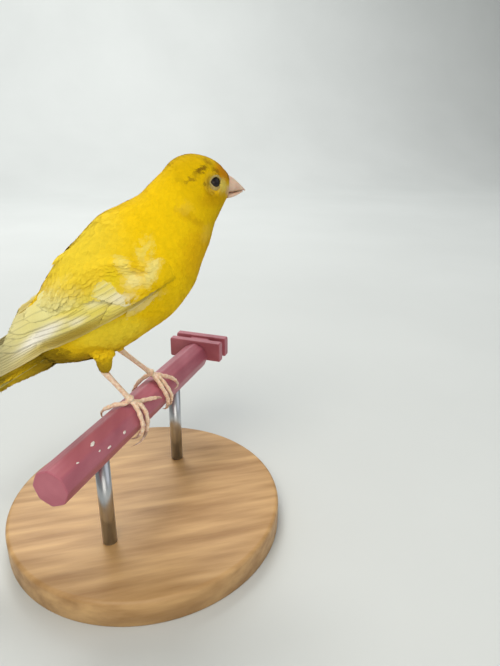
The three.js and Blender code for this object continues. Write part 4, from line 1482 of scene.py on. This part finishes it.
@dataclass
class Wing:
    """A folded wing: its flight feathers and coverts, and the sheet under its smallest coverts."""

    form: WingForm
    markings: Markings
    vane: Material
    run: tuple = (-4.5, 40.0)  # mm along the wing that the sheet covers
    shares: tuple = (-0.1, 1.25)  # from below the wing's lower edge to past its upper one
    sunk: float = 0.75  # mm that the sheet's upper part lies under the body's surface

    def build(self, name: str, mirror: bool) -> Object:
        """Builds the wing's large feathers as one piece."""
        rng = np.random.default_rng(5)
        place, floor, tint = self.form.point, self.form.depth, self.markings.on_wing
        vanes = [one.build(place, floor, rng, tint) for tier in TIERS for one in tier.feathers()]
        return feather_object(name, vanes, self.vane, mirror)

    def sheet(self, p: Array, q: Array, share: Array) -> tuple[Array, Array]:
        """Finds the sheet's points.

        Args:
            p: How far along the wing.
            q: How far across it.
            share: The same as a share of the wing's width.

        Returns:
            The points on the right side, and how far the body's skin stands out there.
        """
        form = self.form
        front = 1.35 - 0.9 * smoothstep(p, 8, 16)  # over the forearm, and over the flight feathers' roots
        rear = 0.35 + 0.8 * smoothstep(p, 18, 28)
        lift = (form.depth(p, q) + mix(front, rear, smoothstep(share, 0.4, 0.9))) * smoothstep(share, -0.1, 0.2)
        outer = form.point(p, q, lift * smoothstep(p, -4.5, 2.5) - 0.4 - 0.5 * (1 - smoothstep(p, -4.5, -2)))
        x, z = form.plane(p, q)
        body = form.body.flank(x, z) - self.sunk
        side = mix(outer[..., 1], -body, smoothstep(share, 0.82, 1.22))
        return np.stack([x, side, z], -1), body

    def cover(self, name: str, mirror: bool) -> tuple[Object, Array]:
        """Builds the sheet that the wing's small coverts and the shoulder's long feathers grow from.

        Args:
            name: The sheet's name.
            mirror: Whether it is the left wing's.

        Returns:
            The sheet, and how thickly each of its vertices is covered.
        """
        rows, columns = 90, 52
        p, share = np.meshgrid(np.linspace(*self.run, rows), np.linspace(*self.shares, columns), indexing="ij")
        q = mix(*self.form.edges(p), share)
        points, body = self.sheet(p, q, share)
        points = points.reshape(-1, 3)
        faces = quads(rows, columns)
        flip = -1 if mirror else 1
        made = mesh_object(name, points * [1, flip, 1], faces[:, ::flip])
        long = 2.4 * smoothstep(share, 0.5, 0.9) * smoothstep(p, 8, 22)
        length = mix(2.0, 3.2, smoothstep(p, -4, 10)) + long + 0.8 * smoothstep(p, 10, 20)
        lie = self.form.lie(0.1 + 0.25 * smoothstep(share, 0.5, 1.0))
        base = self.markings.colours(points, np.full(len(points), 5.0))
        mesh = made.data
        set_attribute(mesh, "lie", lie)
        set_attribute(mesh, "length", length * MM)
        set_attribute(mesh, "facing", normals_of(mesh))
        set_attribute(mesh, "pigment", self.markings.on_wing(p.ravel(), q.ravel(), base))
        set_attribute(mesh, "reach", np.full(len(points), ROOT_REACH))
        flat = [np.interp(v, ends, (0.02, 0.98)).ravel() for v, ends in ((p, self.run), (share, self.shares))]
        set_unwrap(mesh, np.stack(flat, -1)[corners_of(mesh)])
        reach = mix(15.0, 33.0, smoothstep(share, 0.35, 0.85))
        cover = (1 - smoothstep(p, reach - 5, reach)) * (share > -0.08)
        cover = cover * smoothstep(np.minimum(body, 9 - 4 * share), 2.5, 3.5)
        work = bmesh.new()
        work.from_mesh(mesh)
        bare = [f for f in work.faces if max(cover.flat[v.index] for v in f.verts) < 0.3]
        bmesh.ops.delete(work, geom=bare, context="FACES_ONLY")
        work.to_mesh(mesh)
        work.free()
        return made, cover.ravel()


@dataclass
class Tail:
    """The closed tail: six pairs of feathers, with the middle pair on top."""

    form: TailForm
    vane: Material
    pairs: int = 6
    notch: float = 3.2  # mm that the middle pair is shorter than the outer one

    def build(self) -> Object:
        """Builds the tail feathers as one piece.

        Returns:
            The piece.
        """
        rng = np.random.default_rng(8)
        vanes = []
        for i in reversed(range(self.pairs)):
            notch = self.notch * (1 - i / (self.pairs - 1)) ** 1.2
            for side in (-1, 1):
                one = LargeFeather(
                    Kind.TAIL,
                    root=(3, side * (0.5 + 0.6 * i)),
                    tip=(self.form.length - notch, side * (1.7 + 0.98 * i)),
                    half=2.7 - 0.16 * i,
                    lift=0.0,
                    tilt=-side * 0.12,
                    level=0.75 - 0.32 * i + 0.06 * side,
                )
                vanes.append(one.build(self.form.point, lambda a, b: 0 * a, rng))
        return feather_object("tail_feathers", vanes, self.vane, False)


# Head


@dataclass
class Bill:
    """The short conical bill, in two halves with a line between them."""

    body: BodyForm
    horn: Material
    upper: tuple = (
        (33.3, 81.5, 75.7, 3.35), (33.9, 81.4, 75.7, 3.3), (35.2, 80.95, 75.72, 2.95),
        (36.9, 79.85, 75.95, 2.3), (38.6, 78.4, 76.25, 1.5), (39.9, 77.2, 76.35, 0.78),
        (40.7, 76.45, 76.05, 0.2),
    )
    lower: tuple = (
        (33.3, 75.7, 73.8, 2.9), (33.9, 75.7, 73.9, 2.9), (35.2, 75.72, 74.1, 2.6), (36.9, 75.95, 74.6, 2.0),
        (38.6, 76.24, 75.3, 1.15), (39.7, 76.3, 75.75, 0.45),
    )
    nostril: tuple = (35.2, 79.5, 2.15, 0.5)  # x, z, how far out, radius
    nostril_depth: float = 0.34

    def half(self, name: str, table: tuple, keel: float) -> Object:
        """Builds one half of the bill.

        Args:
            name: The piece's name.
            table: x, top, bottom and half width of each ring.
            keel: How far the ridge along its back stands up, in mm.

        Returns:
            The piece, with the horn on it.
        """
        rows = through(table, np.linspace(0, 1, 30))
        angles = circle(40)
        rings = []
        for x, top, bottom, wide in rows:
            ridge = keel * np.exp(-((np.angle(np.exp(1j * angles)) / 0.28) ** 2)) * min(1, wide)
            z = (top + bottom) / 2 + (top - bottom) / 2 * np.cos(angles) + ridge
            rings.append(np.stack([np.full(len(angles), x), wide * np.sin(angles), z], 1))
        points, faces = ring_skin(rings)
        if keel > 0:
            x, z, out, radius = self.nostril
            for side in (-1, 1):
                away = np.linalg.norm((points - [x, side * out, z]) / [1.35, 1, 0.9], axis=1)
                sunk = self.nostril_depth * np.array([0, side, 0.35])
                points = points - sunk * (1 - smoothstep(away, 0.15, radius + 0.25))[:, None]
        points = self.body.turned(points, np.full(len(points), self.body.last))
        return finished(name, points, faces, self.horn, merge=1e-6)


@dataclass
class Eye:
    """One dark, wet eye between thin lids."""

    side: str
    centre: Array
    axis: Array
    cornea: Material
    skin: Material
    radius: float = 2.4
    lid: tuple = (  # how far out from the eye's axis, how far along it
        (2.65, 1.35), (2.6, 1.7), (2.4, 1.95), (2.15, 2.02), (1.92, 1.82), (1.8, 1.58), (1.86, 1.2),
    )

    def frame(self) -> tuple[Array, Array]:
        """Returns the directions across and up the eye's opening."""
        across = unit(np.cross(UP, self.axis))
        return across, np.cross(self.axis, across)

    def ball(self) -> Object:
        """Builds the eyeball with its rings about the eye's own axis.

        Returns:
            The piece.
        """
        across, up = self.frame()
        turns = circle(48)[:, None]
        rings = []
        for tip in np.linspace(0.02, math.pi - 0.02, 32):
            ring = np.cos(tip) * self.axis + np.sin(tip) * (np.cos(turns) * across + np.sin(turns) * up)
            rings.append(self.centre + self.radius * ring)
        return finished(f"eyeball_{self.side}", *ring_skin(rings), self.cornea)

    def lids(self) -> Object:
        """Builds the bare rim of the lids, with the fine beads that a small bird has there.

        Returns:
            The piece.
        """
        across, up = self.frame()
        turns = circle(72)
        beads = 0.05 * np.abs(np.sin(turns * 13))
        rings = []
        for out, lift in self.lid:
            bead = beads if 1.85 < out < 2.5 else 0 * beads
            inner = 1 - smoothstep(out, 1.8, 2.75)
            x = (out + 0.5 * bead) * mix(1.0, 0.94, inner) * np.cos(turns)
            z = (out + 0.5 * bead) * mix(1.04, 0.84, inner) * np.sin(turns) + 0.28 * inner
            if out != self.lid[-1][0]:
                lift = np.maximum(lift, np.sqrt(np.maximum(0, self.radius**2 - x**2 - z**2)) + 0.06 * inner)
            wide = x[:, None] * across + z[:, None] * up
            corner = 0.28 * np.exp(-((np.angle(np.exp(1j * (turns - math.pi))) / 0.35) ** 2))
            wide = wide - corner[:, None] * across * (out < 2.5)
            rings.append(self.centre + (lift + bead)[:, None] * self.axis + wide)
        return finished(f"eyelids_{self.side}", *ring_skin(rings, caps=False), self.skin)


# Legs


@dataclass(frozen=True)
class Foot:
    """Where one leg stands: ankle and hub, and each toe's path along and round the perch."""

    thigh: Triple
    ankle: Triple
    hub: Triple
    toes: dict[str, tuple]
    claws: dict[str, tuple]


FEET: dict[str, Foot] = {
    "right": Foot(
        (-11.4, -8.6, 27.0),
        (-11.2, -9.0, 18.6),
        (-10.5, 18, 8.2),
        {
            "hind": ((-12.4, 7, 7.3), (-13.5, -16, 7.1), (-14.0, -38, 7.15), (-14.2, -52, 7.75)),
            "inner": ((-8.6, 30, 7.5), (-5.4, 38, 7.15), (-2.2, 48, 7.15), (0.6, 57, 7.2)),
            "middle": (
                (-11.0, 40, 7.4), (-11.7, 62, 7.2), (-11.7, 88, 7.15), (-11.4, 112, 7.2), (-11.3, 130, 7.2),
            ),
            "outer": ((-8.6, 44, 7.4), (-8.3, 68, 7.2), (-8.3, 94, 7.2), (-8.2, 116, 7.5), (-8.6, 126, 8.1)),
        },
        {
            "hind": ((-14.3, -65, 8.0), (-14.0, -77, 7.7), (-13.6, -89, 7.0)),
            "inner": ((2.0, 62, 7.4), (3.2, 68, 7.3), (4.0, 75, 6.7)),
            "middle": ((-11.6, 142, 7.35), (-12.2, 152, 7.15), (-12.7, 161, 6.7)),
            "outer": ((-10.2, 134, 8.9), (-12.4, 143, 9.3), (-14.6, 158, 8.9)),
        },
    ),
    "left": Foot(
        (-9.6, 8.6, 27.0),
        (-5.4, 9.0, 18.8),
        (10.4, -4, 8.2),
        {
            "hind": ((9.8, -24, 7.5), (8.6, -48, 7.2), (7.4, -68, 7.2)),
            "inner": ((8.8, 16, 7.5), (7.2, 42, 7.2), (7.1, 70, 7.15), (7.8, 94, 7.15), (8.2, 110, 7.2)),
            "middle": ((10.4, 20, 7.4), (9.8, 42, 7.2), (9.9, 64, 7.15), (10.6, 88, 7.2), (11.0, 108, 7.2)),
            "outer": ((12.0, 14, 7.5), (13.7, 30, 7.2), (15.6, 47, 7.15), (16.7, 62, 7.2)),
        },
        {
            "hind": ((6.6, -82, 7.4), (5.8, -97, 7.3), (5.2, -109, 6.7)),
            "inner": ((8.5, 124, 7.4), (9.2, 138, 7.2), (9.8, 150, 6.7)),
            "middle": ((11.3, 122, 7.4), (11.7, 136, 7.2), (11.9, 148, 6.7)),
            "outer": ((16.6, 73, 7.5), (15.3, 78, 7.5), (13.6, 80, 6.9)),
        },
    ),
}


def orbit(place: Sequence[float]) -> Array:
    """Turns a place along, round and out from the perch's axis into a point."""
    along, angle, radius = place
    turn = math.radians(angle)
    return ALONG * along + UP * radius * math.cos(turn) + ASIDE * radius * math.sin(turn)


@dataclass
class Leg:
    """One bare leg: a scuted shank, four scaly toes round the perch, and their claws."""

    side: str
    plan: Foot
    skin: Material
    horn: Material
    shank_radius: float = 1.05
    toe_radius: float = 0.82
    claw_radius: float = 0.5
    scute: float = 1.25  # mm from one plate of the shank to the next
    toe_scute: float = 0.72  # the same on a toe

    def bands(self, path: Array, spacing: float, height: float) -> Array:
        """Returns how far each point of a path swells with its overlapping plates."""
        run = np.concatenate([[0], np.cumsum(np.linalg.norm(np.diff(path, axis=0), axis=1))])
        saw = (run / spacing) % 1.0
        return height * saw**1.6 * (1 - smoothstep(saw, 0.86, 1.0))

    def shank(self) -> Object:
        """Builds the shank with its row of plates down the front.

        Returns:
            The piece.
        """
        ankle, hub = np.array(self.plan.ankle), orbit(self.plan.hub)
        bone = unit(hub - ankle)
        path = np.linspace(ankle - bone * 1.2, hub - bone * 1.0, 120)
        form = (1.2, 1.12, 0.98, 0.95, 0.94, 0.98, 1.1)
        radii = self.shank_radius * through(form, np.linspace(0, 1, len(path)), False)
        swell = self.bands(path, self.scute, 0.13)
        return finished(f"shank_{self.side}", *tube(path, radii + swell, 24, 0.86), self.skin)

    def foot(self) -> Object:
        """Builds the four toes and the knuckle that they spring from.

        Returns:
            The piece.
        """
        hub, ankle = orbit(self.plan.hub), np.array(self.plan.ankle)
        bone = unit(hub - ankle)
        knuckle = through((1.02, 1.15, 1.5, 1.6, 1.35, 0.7), np.linspace(0, 1, 14), False)
        parts = [tube(np.linspace(hub - bone * 2.3, hub + bone * 0.5, 14), knuckle, 20)]
        for joints in self.plan.toes.values():
            table = np.array([hub, *map(orbit, joints)])
            count = 26 * (len(table) - 1)
            path = through(table, np.linspace(0, 1, count))
            share = np.linspace(0, 1, count)
            pads = 0.09 * np.cos(2 * math.pi * share * (len(table) - 1))
            taper = mix(1.06, 0.82, share) * mix(1, 0.55, smoothstep(share, 0.965, 1.0))
            radii = (self.toe_radius + pads) * taper
            swell = self.bands(path, self.toe_scute, 0.12)
            parts.append(tube(path, radii, 16, ridge=swell))
        return finished(f"toes_{self.side}", *joined(parts), self.skin)

    def claw(self, key: str) -> Object:
        """Builds one curved claw, round above and grooved to a point.

        Args:
            key: The toe that it ends.

        Returns:
            The piece.
        """
        last, rest = orbit(self.plan.toes[key][-1]), [orbit(p) for p in self.plan.claws[key]]
        start = last + unit(rest[0] - last) * 0.15
        share = np.linspace(0, 1, 26)
        path = through(np.array([start, *rest]), share)
        radii = self.claw_radius * through((1.3, 1.15, 0.82, 0.45, 0.08), share, False)
        return finished(f"claw_horn_{self.side}_{key}", *tube(path, radii, 14, 0.78), self.horn)


# Perch and stand


@dataclass
class Perch:
    """A cut length of moulded plastic perch, with lengthwise ridges and two cross plates at its far end."""

    plastic: Material
    chalk: Material
    near: float = -52.0
    far: float = 49.0
    radius: float = 6.0
    flute: float = 0.28  # how deep the hollows between the ridges are
    ridges: int = 8
    plate: Triple = (3.6, 24.0, 8.8)  # thick, long, tall
    plate_low: float = -1.6  # height of the plates' underside from the bar's axis
    slot: float = 3.4  # between both plates
    specks: tuple = (  # along the bar, round it in degrees, size
        (-34.5, 30, 0.75), (-29.9, 74, 0.5), (-20.8, 73, 0.55), (-43.7, 42, 0.4), (-34.3, 60, 0.3),
    )

    def bar(self) -> tuple[Array, list]:
        """Builds the ridged bar.

        Returns:
            The points and the faces.
        """
        turns = circle(192)[:, None]
        ridge = np.abs(np.cos(self.ridges * turns / 2)) ** 4
        rings = []
        near = [(self.near + run, inset) for run, inset in ((0.0, 0.5), (0.15, 0.15), (0.5, 0.0))]
        for along, inset in (*near, (self.far + 0.2, 0.0)):
            out = self.radius - self.flute * (1 - ridge) - inset
            rings.append(ALONG * along + out * (np.cos(turns) * UP + np.sin(turns) * ASIDE))
        return ring_skin(rings)

    def block(self, along: float, size: tuple, low: float, edge: float) -> tuple[Array, list]:
        """Returns the points and faces of a block with its long edges rounded.

        Args:
            along: Where its middle lies along the perch.
            size: Its thickness, length and height.
            low: Its underside.
            edge: The radius of its edges.

        Returns:
            The points and the faces.
        """
        thick, long, tall = size
        half, middle = long / 2, np.array([0, low + tall / 2])
        outline = []
        for corner, (sx, sz) in enumerate(((1, 1), (-1, 1), (-1, -1), (1, -1))):
            for turn in np.linspace(corner * math.pi / 2, (corner + 1) * math.pi / 2, 6):
                centre = (sx * (thick / 2 - edge), low + tall / 2 + sz * (tall / 2 - edge))
                outline.append((centre[0] + edge * math.cos(turn), centre[1] + edge * math.sin(turn)))
        rings = []
        for across, inset in ((-half, 0.6), (-half + edge * 0.4, 0.0), (half - edge * 0.4, 0.0), (half, 0.6)):
            flat = middle + (np.array(outline) - middle) * (1 - edge * inset / (tall / 2))
            rings.append((along + flat[:, :1]) * ALONG + flat[:, 1:] * UP + across * ASIDE)
        return ring_skin(rings)

    def spots(self) -> Object:
        """Builds the dried white specks on the bar, as low domes.

        Returns:
            The piece.
        """
        turns = circle(20)
        dome = ((1.0, -0.4), (0.95, -0.07), (0.7, 0.01), (0.35, 0.05), (0.02, 0.06))  # reach, height
        parts = []
        for along, angle, size in self.specks:
            wobble = 1 + 0.22 * np.sin(2 * turns + along) + 0.1 * np.sin(5 * turns + angle)
            points = []
            for reach, rise in dome:
                across = np.degrees(size * reach * wobble * np.sin(turns) * 0.8 / self.radius)
                run = along + size * reach * wobble * np.cos(turns) * 1.5
                points += [orbit((a, angle + b, self.radius + rise)) for a, b in zip(run, across)]
            parts.append(ring_skin(np.reshape(points, (len(dome), -1, 3))))
        return finished("perch_specks", *joined(parts), self.chalk)

    def build(self) -> Object:
        """Builds the perch.

        Returns:
            The piece.
        """
        first = self.far + self.plate[0] / 2
        second = first + self.plate[0] + self.slot
        neck = (self.plate[0] + self.slot + 1, 9.0, self.plate[2] - 2)
        parts = [
            self.bar(),
            self.block(first, self.plate, self.plate_low, 0.7),
            self.block((first + second) / 2, neck, self.plate_low + 1, 0.5),
            self.block(second, self.plate, self.plate_low, 0.7),
        ]
        return finished("perch_bar", *joined(parts), self.plastic, smooth=False)


@dataclass
class Stand:
    """The display stand: a turned oak disc and two steel rods."""

    oak: Material
    steel: Material
    radius: float = 52.0
    thickness: float = 10.0
    edge: float = 1.5  # radius of the disc's upper edge
    rod: float = 2.5  # radius of a rod
    rod_along: float = 27.0  # how far each rod stands from the middle of the perch

    def turned(
        self, name: str, centre: Array, outline: Sequence, sides: int, finish: Material
    ) -> Object:
        """Builds a piece as a lathe would, from radii and heights.

        Args:
            name: The piece's name.
            centre: The place of its axis.
            outline: Radius and height of each ring.
            sides: How many sides it has.
            finish: Its material.

        Returns:
            The piece.
        """
        turns = circle(sides)
        flat = np.stack([np.cos(turns), np.sin(turns), 0 * turns], 1)
        rings = [centre + radius * flat + height * UP for radius, height in outline]
        return finished(name, *ring_skin(rings), finish)

    def build(self) -> dict[str, Object]:
        """Builds the base and both rods.

        Returns:
            The node's name and the piece.
        """
        floor = -PERCH_HEIGHT
        top = floor + self.thickness
        quarter = np.linspace(0, math.pi / 2, 7)
        arc = [(self.edge * (1 - math.cos(turn)), self.edge * (1 - math.sin(turn))) for turn in quarter]
        outline = [(self.radius - 8, floor), (self.radius - 0.5, floor), (self.radius, floor + 0.5)]
        outline += [(self.radius - inner, top - down) for inner, down in arc]
        outline += [(self.radius - 8, top), (self.radius - 20, top)]
        made = {"stand_base": self.turned("stand_oak_base", np.zeros(3), outline, 160, self.oak)}
        for key, along in (("near", -self.rod_along), ("far", self.rod_along)):
            low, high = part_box(f"stand_rod_{key}")
            rings = [(self.rod, low[2] / MM - PERCH_HEIGHT), (self.rod, high[2] / MM - PERCH_HEIGHT)]
            rod = self.turned(f"stand_steel_rod_{key}", ALONG * along, rings, 48, self.steel)
            made[f"stand_rod_{key}"] = rod
        return made


# Studio


@dataclass
class Studio:
    """A pale sweep, soft lights and the camera at the photo's viewing angle."""

    place: Triple = (-0.0058, -0.1764, 0.1452)  # of the camera, in m
    azimuth: float = math.radians(-15)
    elevation: float = math.radians(21)
    roll: float = math.radians(0.67)
    lens: float = 28.38
    # Ground: uncoated paper, matt and even.
    paper: Grained = Grained("paper_matt", "#c5c8c6", "#c9ccca", 180, 2.5, 0.9, 0.05, 0.02, specular=0.2)
    lamps: tuple = (  # name, place in m, power in W, size in m, colour
        ("key", (-0.35, -0.55, 0.85), 5.9, 0.5, "#fffaf0"),
        ("fill", (0.75, -0.35, 0.45), 1.1, 0.7, "#f2f6ff"),
        ("front", (0.0, -0.9, 0.2), 1.8, 0.6, "#fff8ec"),
        ("rim", (-0.2, 0.7, 0.7), 2.0, 0.5, "#ffffff"),
        ("wash", (0.0, 1.0, 1.8), 30.0, 0.8, "#ffffff"),
    )

    def sweep(self) -> None:
        """Lays the floor and bends it up behind."""
        start, bend = 1.1, 0.7
        turns = np.linspace(0.1, math.pi / 2, 14)
        curve = [(start + bend * math.sin(turn), bend - bend * math.cos(turn)) for turn in turns]
        run = [(-2.5, 0), (start, 0), *curve, (1.8, 3.2)]
        points = np.array([(x, y, z) for y, z in run for x in (-3, 3)]) / MM - [0, 0, PERCH_HEIGHT]
        floor = mesh_object("floor", points, [(i, i + 1, i + 3, i + 2) for i in range(0, len(points) - 2, 2)])
        floor.data.materials.append(self.paper.material())

    def lights(self) -> None:
        """Hangs a large soft key over the camera, a fill and a rim, under a pale sky."""
        world = bpy.data.worlds.new("studio")
        world.use_nodes = True
        sky = world.node_tree.nodes["Background"].inputs
        sky["Color"].default_value, sky["Strength"].default_value = linear("#eef1f2"), 0.36
        bpy.context.scene.world = world
        for name, spot, power, size, tint in self.lamps:
            lamp = bpy.data.lights.new(name, "AREA")
            lamp.energy, lamp.size, lamp.color = power, size, linear(tint)[:3]
            hung = linked(name, lamp)
            hung.location = spot
            aim = Vector((0, 1.8, 0.5)) if name == "wash" else Vector((0, 0, 0.08))
            hung.rotation_euler = (aim - Vector(spot)).to_track_quat("-Z", "Y").to_euler()

    def camera(self) -> None:
        """Places the camera where the photo was taken from."""
        a, e, r = self.azimuth, self.elevation, self.roll
        look = Vector((-math.sin(a) * math.cos(e), math.cos(a) * math.cos(e), -math.sin(e)))
        right = Vector((math.cos(a), math.sin(a), 0))
        up = right.cross(look)
        right, up = math.cos(r) * right + math.sin(r) * up, -math.sin(r) * right + math.cos(r) * up
        camera = bpy.data.cameras.new("camera")
        camera.lens, camera.sensor_width, camera.sensor_fit = self.lens, 36, "AUTO"
        camera.clip_start, camera.clip_end = 0.005, 20
        made = linked("camera", camera)
        made.matrix_world = Matrix((right, up, -look)).transposed().to_4x4()
        made.location = self.place
        bpy.context.scene.camera = made

    def build(self) -> None:
        """Sets up the studio."""
        self.sweep()
        self.lights()
        self.camera()
        bpy.context.scene.view_settings.view_transform = "Standard"


# The whole


@dataclass
class Canary:
    """The whole object, built piece by piece on the frame's nodes."""

    body: BodyForm = field(default_factory=BodyForm)
    tail: TailForm = field(default_factory=TailForm)
    markings: Markings = field(default_factory=Markings)
    thigh_radii: tuple = (4.0, 3.9, 3.5, 3.1, 2.9, 2.6, 2.1, 1.0)

    def eyes(self) -> dict[int, tuple[Array, Array]]:
        """Finds the right (-1) and left (1) eye.

        Returns:
            Centre and axis by side.
        """
        made = {}
        toe = math.radians(14)
        for side in (-1, 1):
            centre = self.body.head_point(27.0, side * 5.0, 79.6)
            tip = self.body.head_point(27.0 + math.sin(toe), side * (5.0 + math.cos(toe)), 79.6)
            made[side] = (centre, unit(tip - centre))
        return made

    def thighs(self) -> dict[Tract, tuple[Array, Array]]:
        """Returns the path and radii of each feathered thigh."""
        made = {}
        for tract, side in ((Tract.THIGH_RIGHT, "right"), (Tract.THIGH_LEFT, "left")):
            top, low = np.array(FEET[side].thigh), np.array(FEET[side].ankle) + UP * 0.4
            made[tract] = (np.array([top, (top + low) / 2, low]), np.array(self.thigh_radii))
        return made

    def feathers(self) -> None:
        """Builds the skin with its coat, the wings and the tail."""
        plumage, vane = Plumage().material(), Vane().material()
        wing = Wing(WingForm(self.body), self.markings, vane)
        skin = Skin(self.body, self.tail, self.thighs(), self.eyes(), self.markings, wing.form)
        hide = skin.build()
        hide.data.materials.append(plumage)
        coat, shown = Coat(plumage), skin.shown()
        tracts = [
            coat.lay(f"coat_{name}", hide, (chosen & shown).astype(float), spacing, lift, seed)
            for seed, (name, chosen, spacing, lift) in enumerate(skin.tracts(), 1)
        ]
        self.declare(hide, "body_feathers", "torso", "neck", "head", "thigh_right", "thigh_left")
        for made in tracts:
            self.declare(made, "body_feathers")
        for side, mirror in (("right", False), ("left", True)):
            self.declare(wing.build(f"wing_feathers_{side}", mirror), "wing_feathers", f"wing_{side}")
            sheet, cover = wing.cover(f"wing_cover_{side}", mirror)
            sheet.data.materials.append(plumage)
            self.declare(coat.lay(f"coat_wing_{side}", sheet, cover, 0.42, 2.4, 20 + mirror), "wing_feathers")
            self.declare(sheet, "wing_feathers")
        self.declare(Tail(self.tail, vane).build(), "tail_feathers", "tail")

    def bare_parts(self, finish: dict[str, Material]) -> None:
        """Builds the bill, the eyes and the legs.

        Args:
            finish: The materials by name.
        """
        bill = Bill(self.body, finish["bill"])
        self.declare(bill.half("bill_upper_horn", bill.upper, 0.16), "bill", "bill_upper")
        self.declare(bill.half("bill_lower_horn", bill.lower, 0.0), "bill", "bill_lower")
        for side, (centre, axis) in self.eyes().items():
            name = "left" if side > 0 else "right"
            eye = Eye(name, centre, axis, finish["eye"], finish["lids"])
            self.declare(eye.ball(), "eye", f"eye_{name}")
            self.declare(eye.lids(), "eye")
        for name, plan in FEET.items():
            leg = Leg(name, plan, finish["scales"], finish["claw"])
            self.declare(leg.shank(), "leg_skin", f"tarsus_{name}")
            self.declare(leg.foot(), "leg_skin", f"foot_{name}")
            for key in plan.toes:
                self.declare(leg.claw(key), "claw", f"claw_{name}_{key}")

    def build(self) -> None:
        """Builds, dresses and declares every piece."""
        finish = {name: one.material() for name, one in FINISHES.items()}
        self.feathers()
        self.bare_parts(finish)
        perch = Perch(finish["plastic"], finish["chalk"])
        self.declare(perch.build(), "perch_plastic", "perch")
        self.declare(perch.spots(), "perch_plastic")
        for node, made in Stand(finish["oak"], finish["steel"]).build().items():
            self.declare(made, "stand_oak" if node == "stand_base" else "stand_steel", node)

    def declare(self, piece: Object, slot: str, *nodes: str) -> None:
        """Says which body carries a piece and which nodes it stands for."""
        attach(piece, "root")
        if nodes:
            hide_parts(*nodes)
        log.info("%s: %d faces", piece.name, len(piece.data.polygons))


def main() -> None:
    """Builds the canary, its perch, its stand and the studio."""
    logging.basicConfig(level=logging.INFO, format="%(message)s")
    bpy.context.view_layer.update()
    Studio().build()
    Canary().build()


if __name__ == "__main__":
    main()
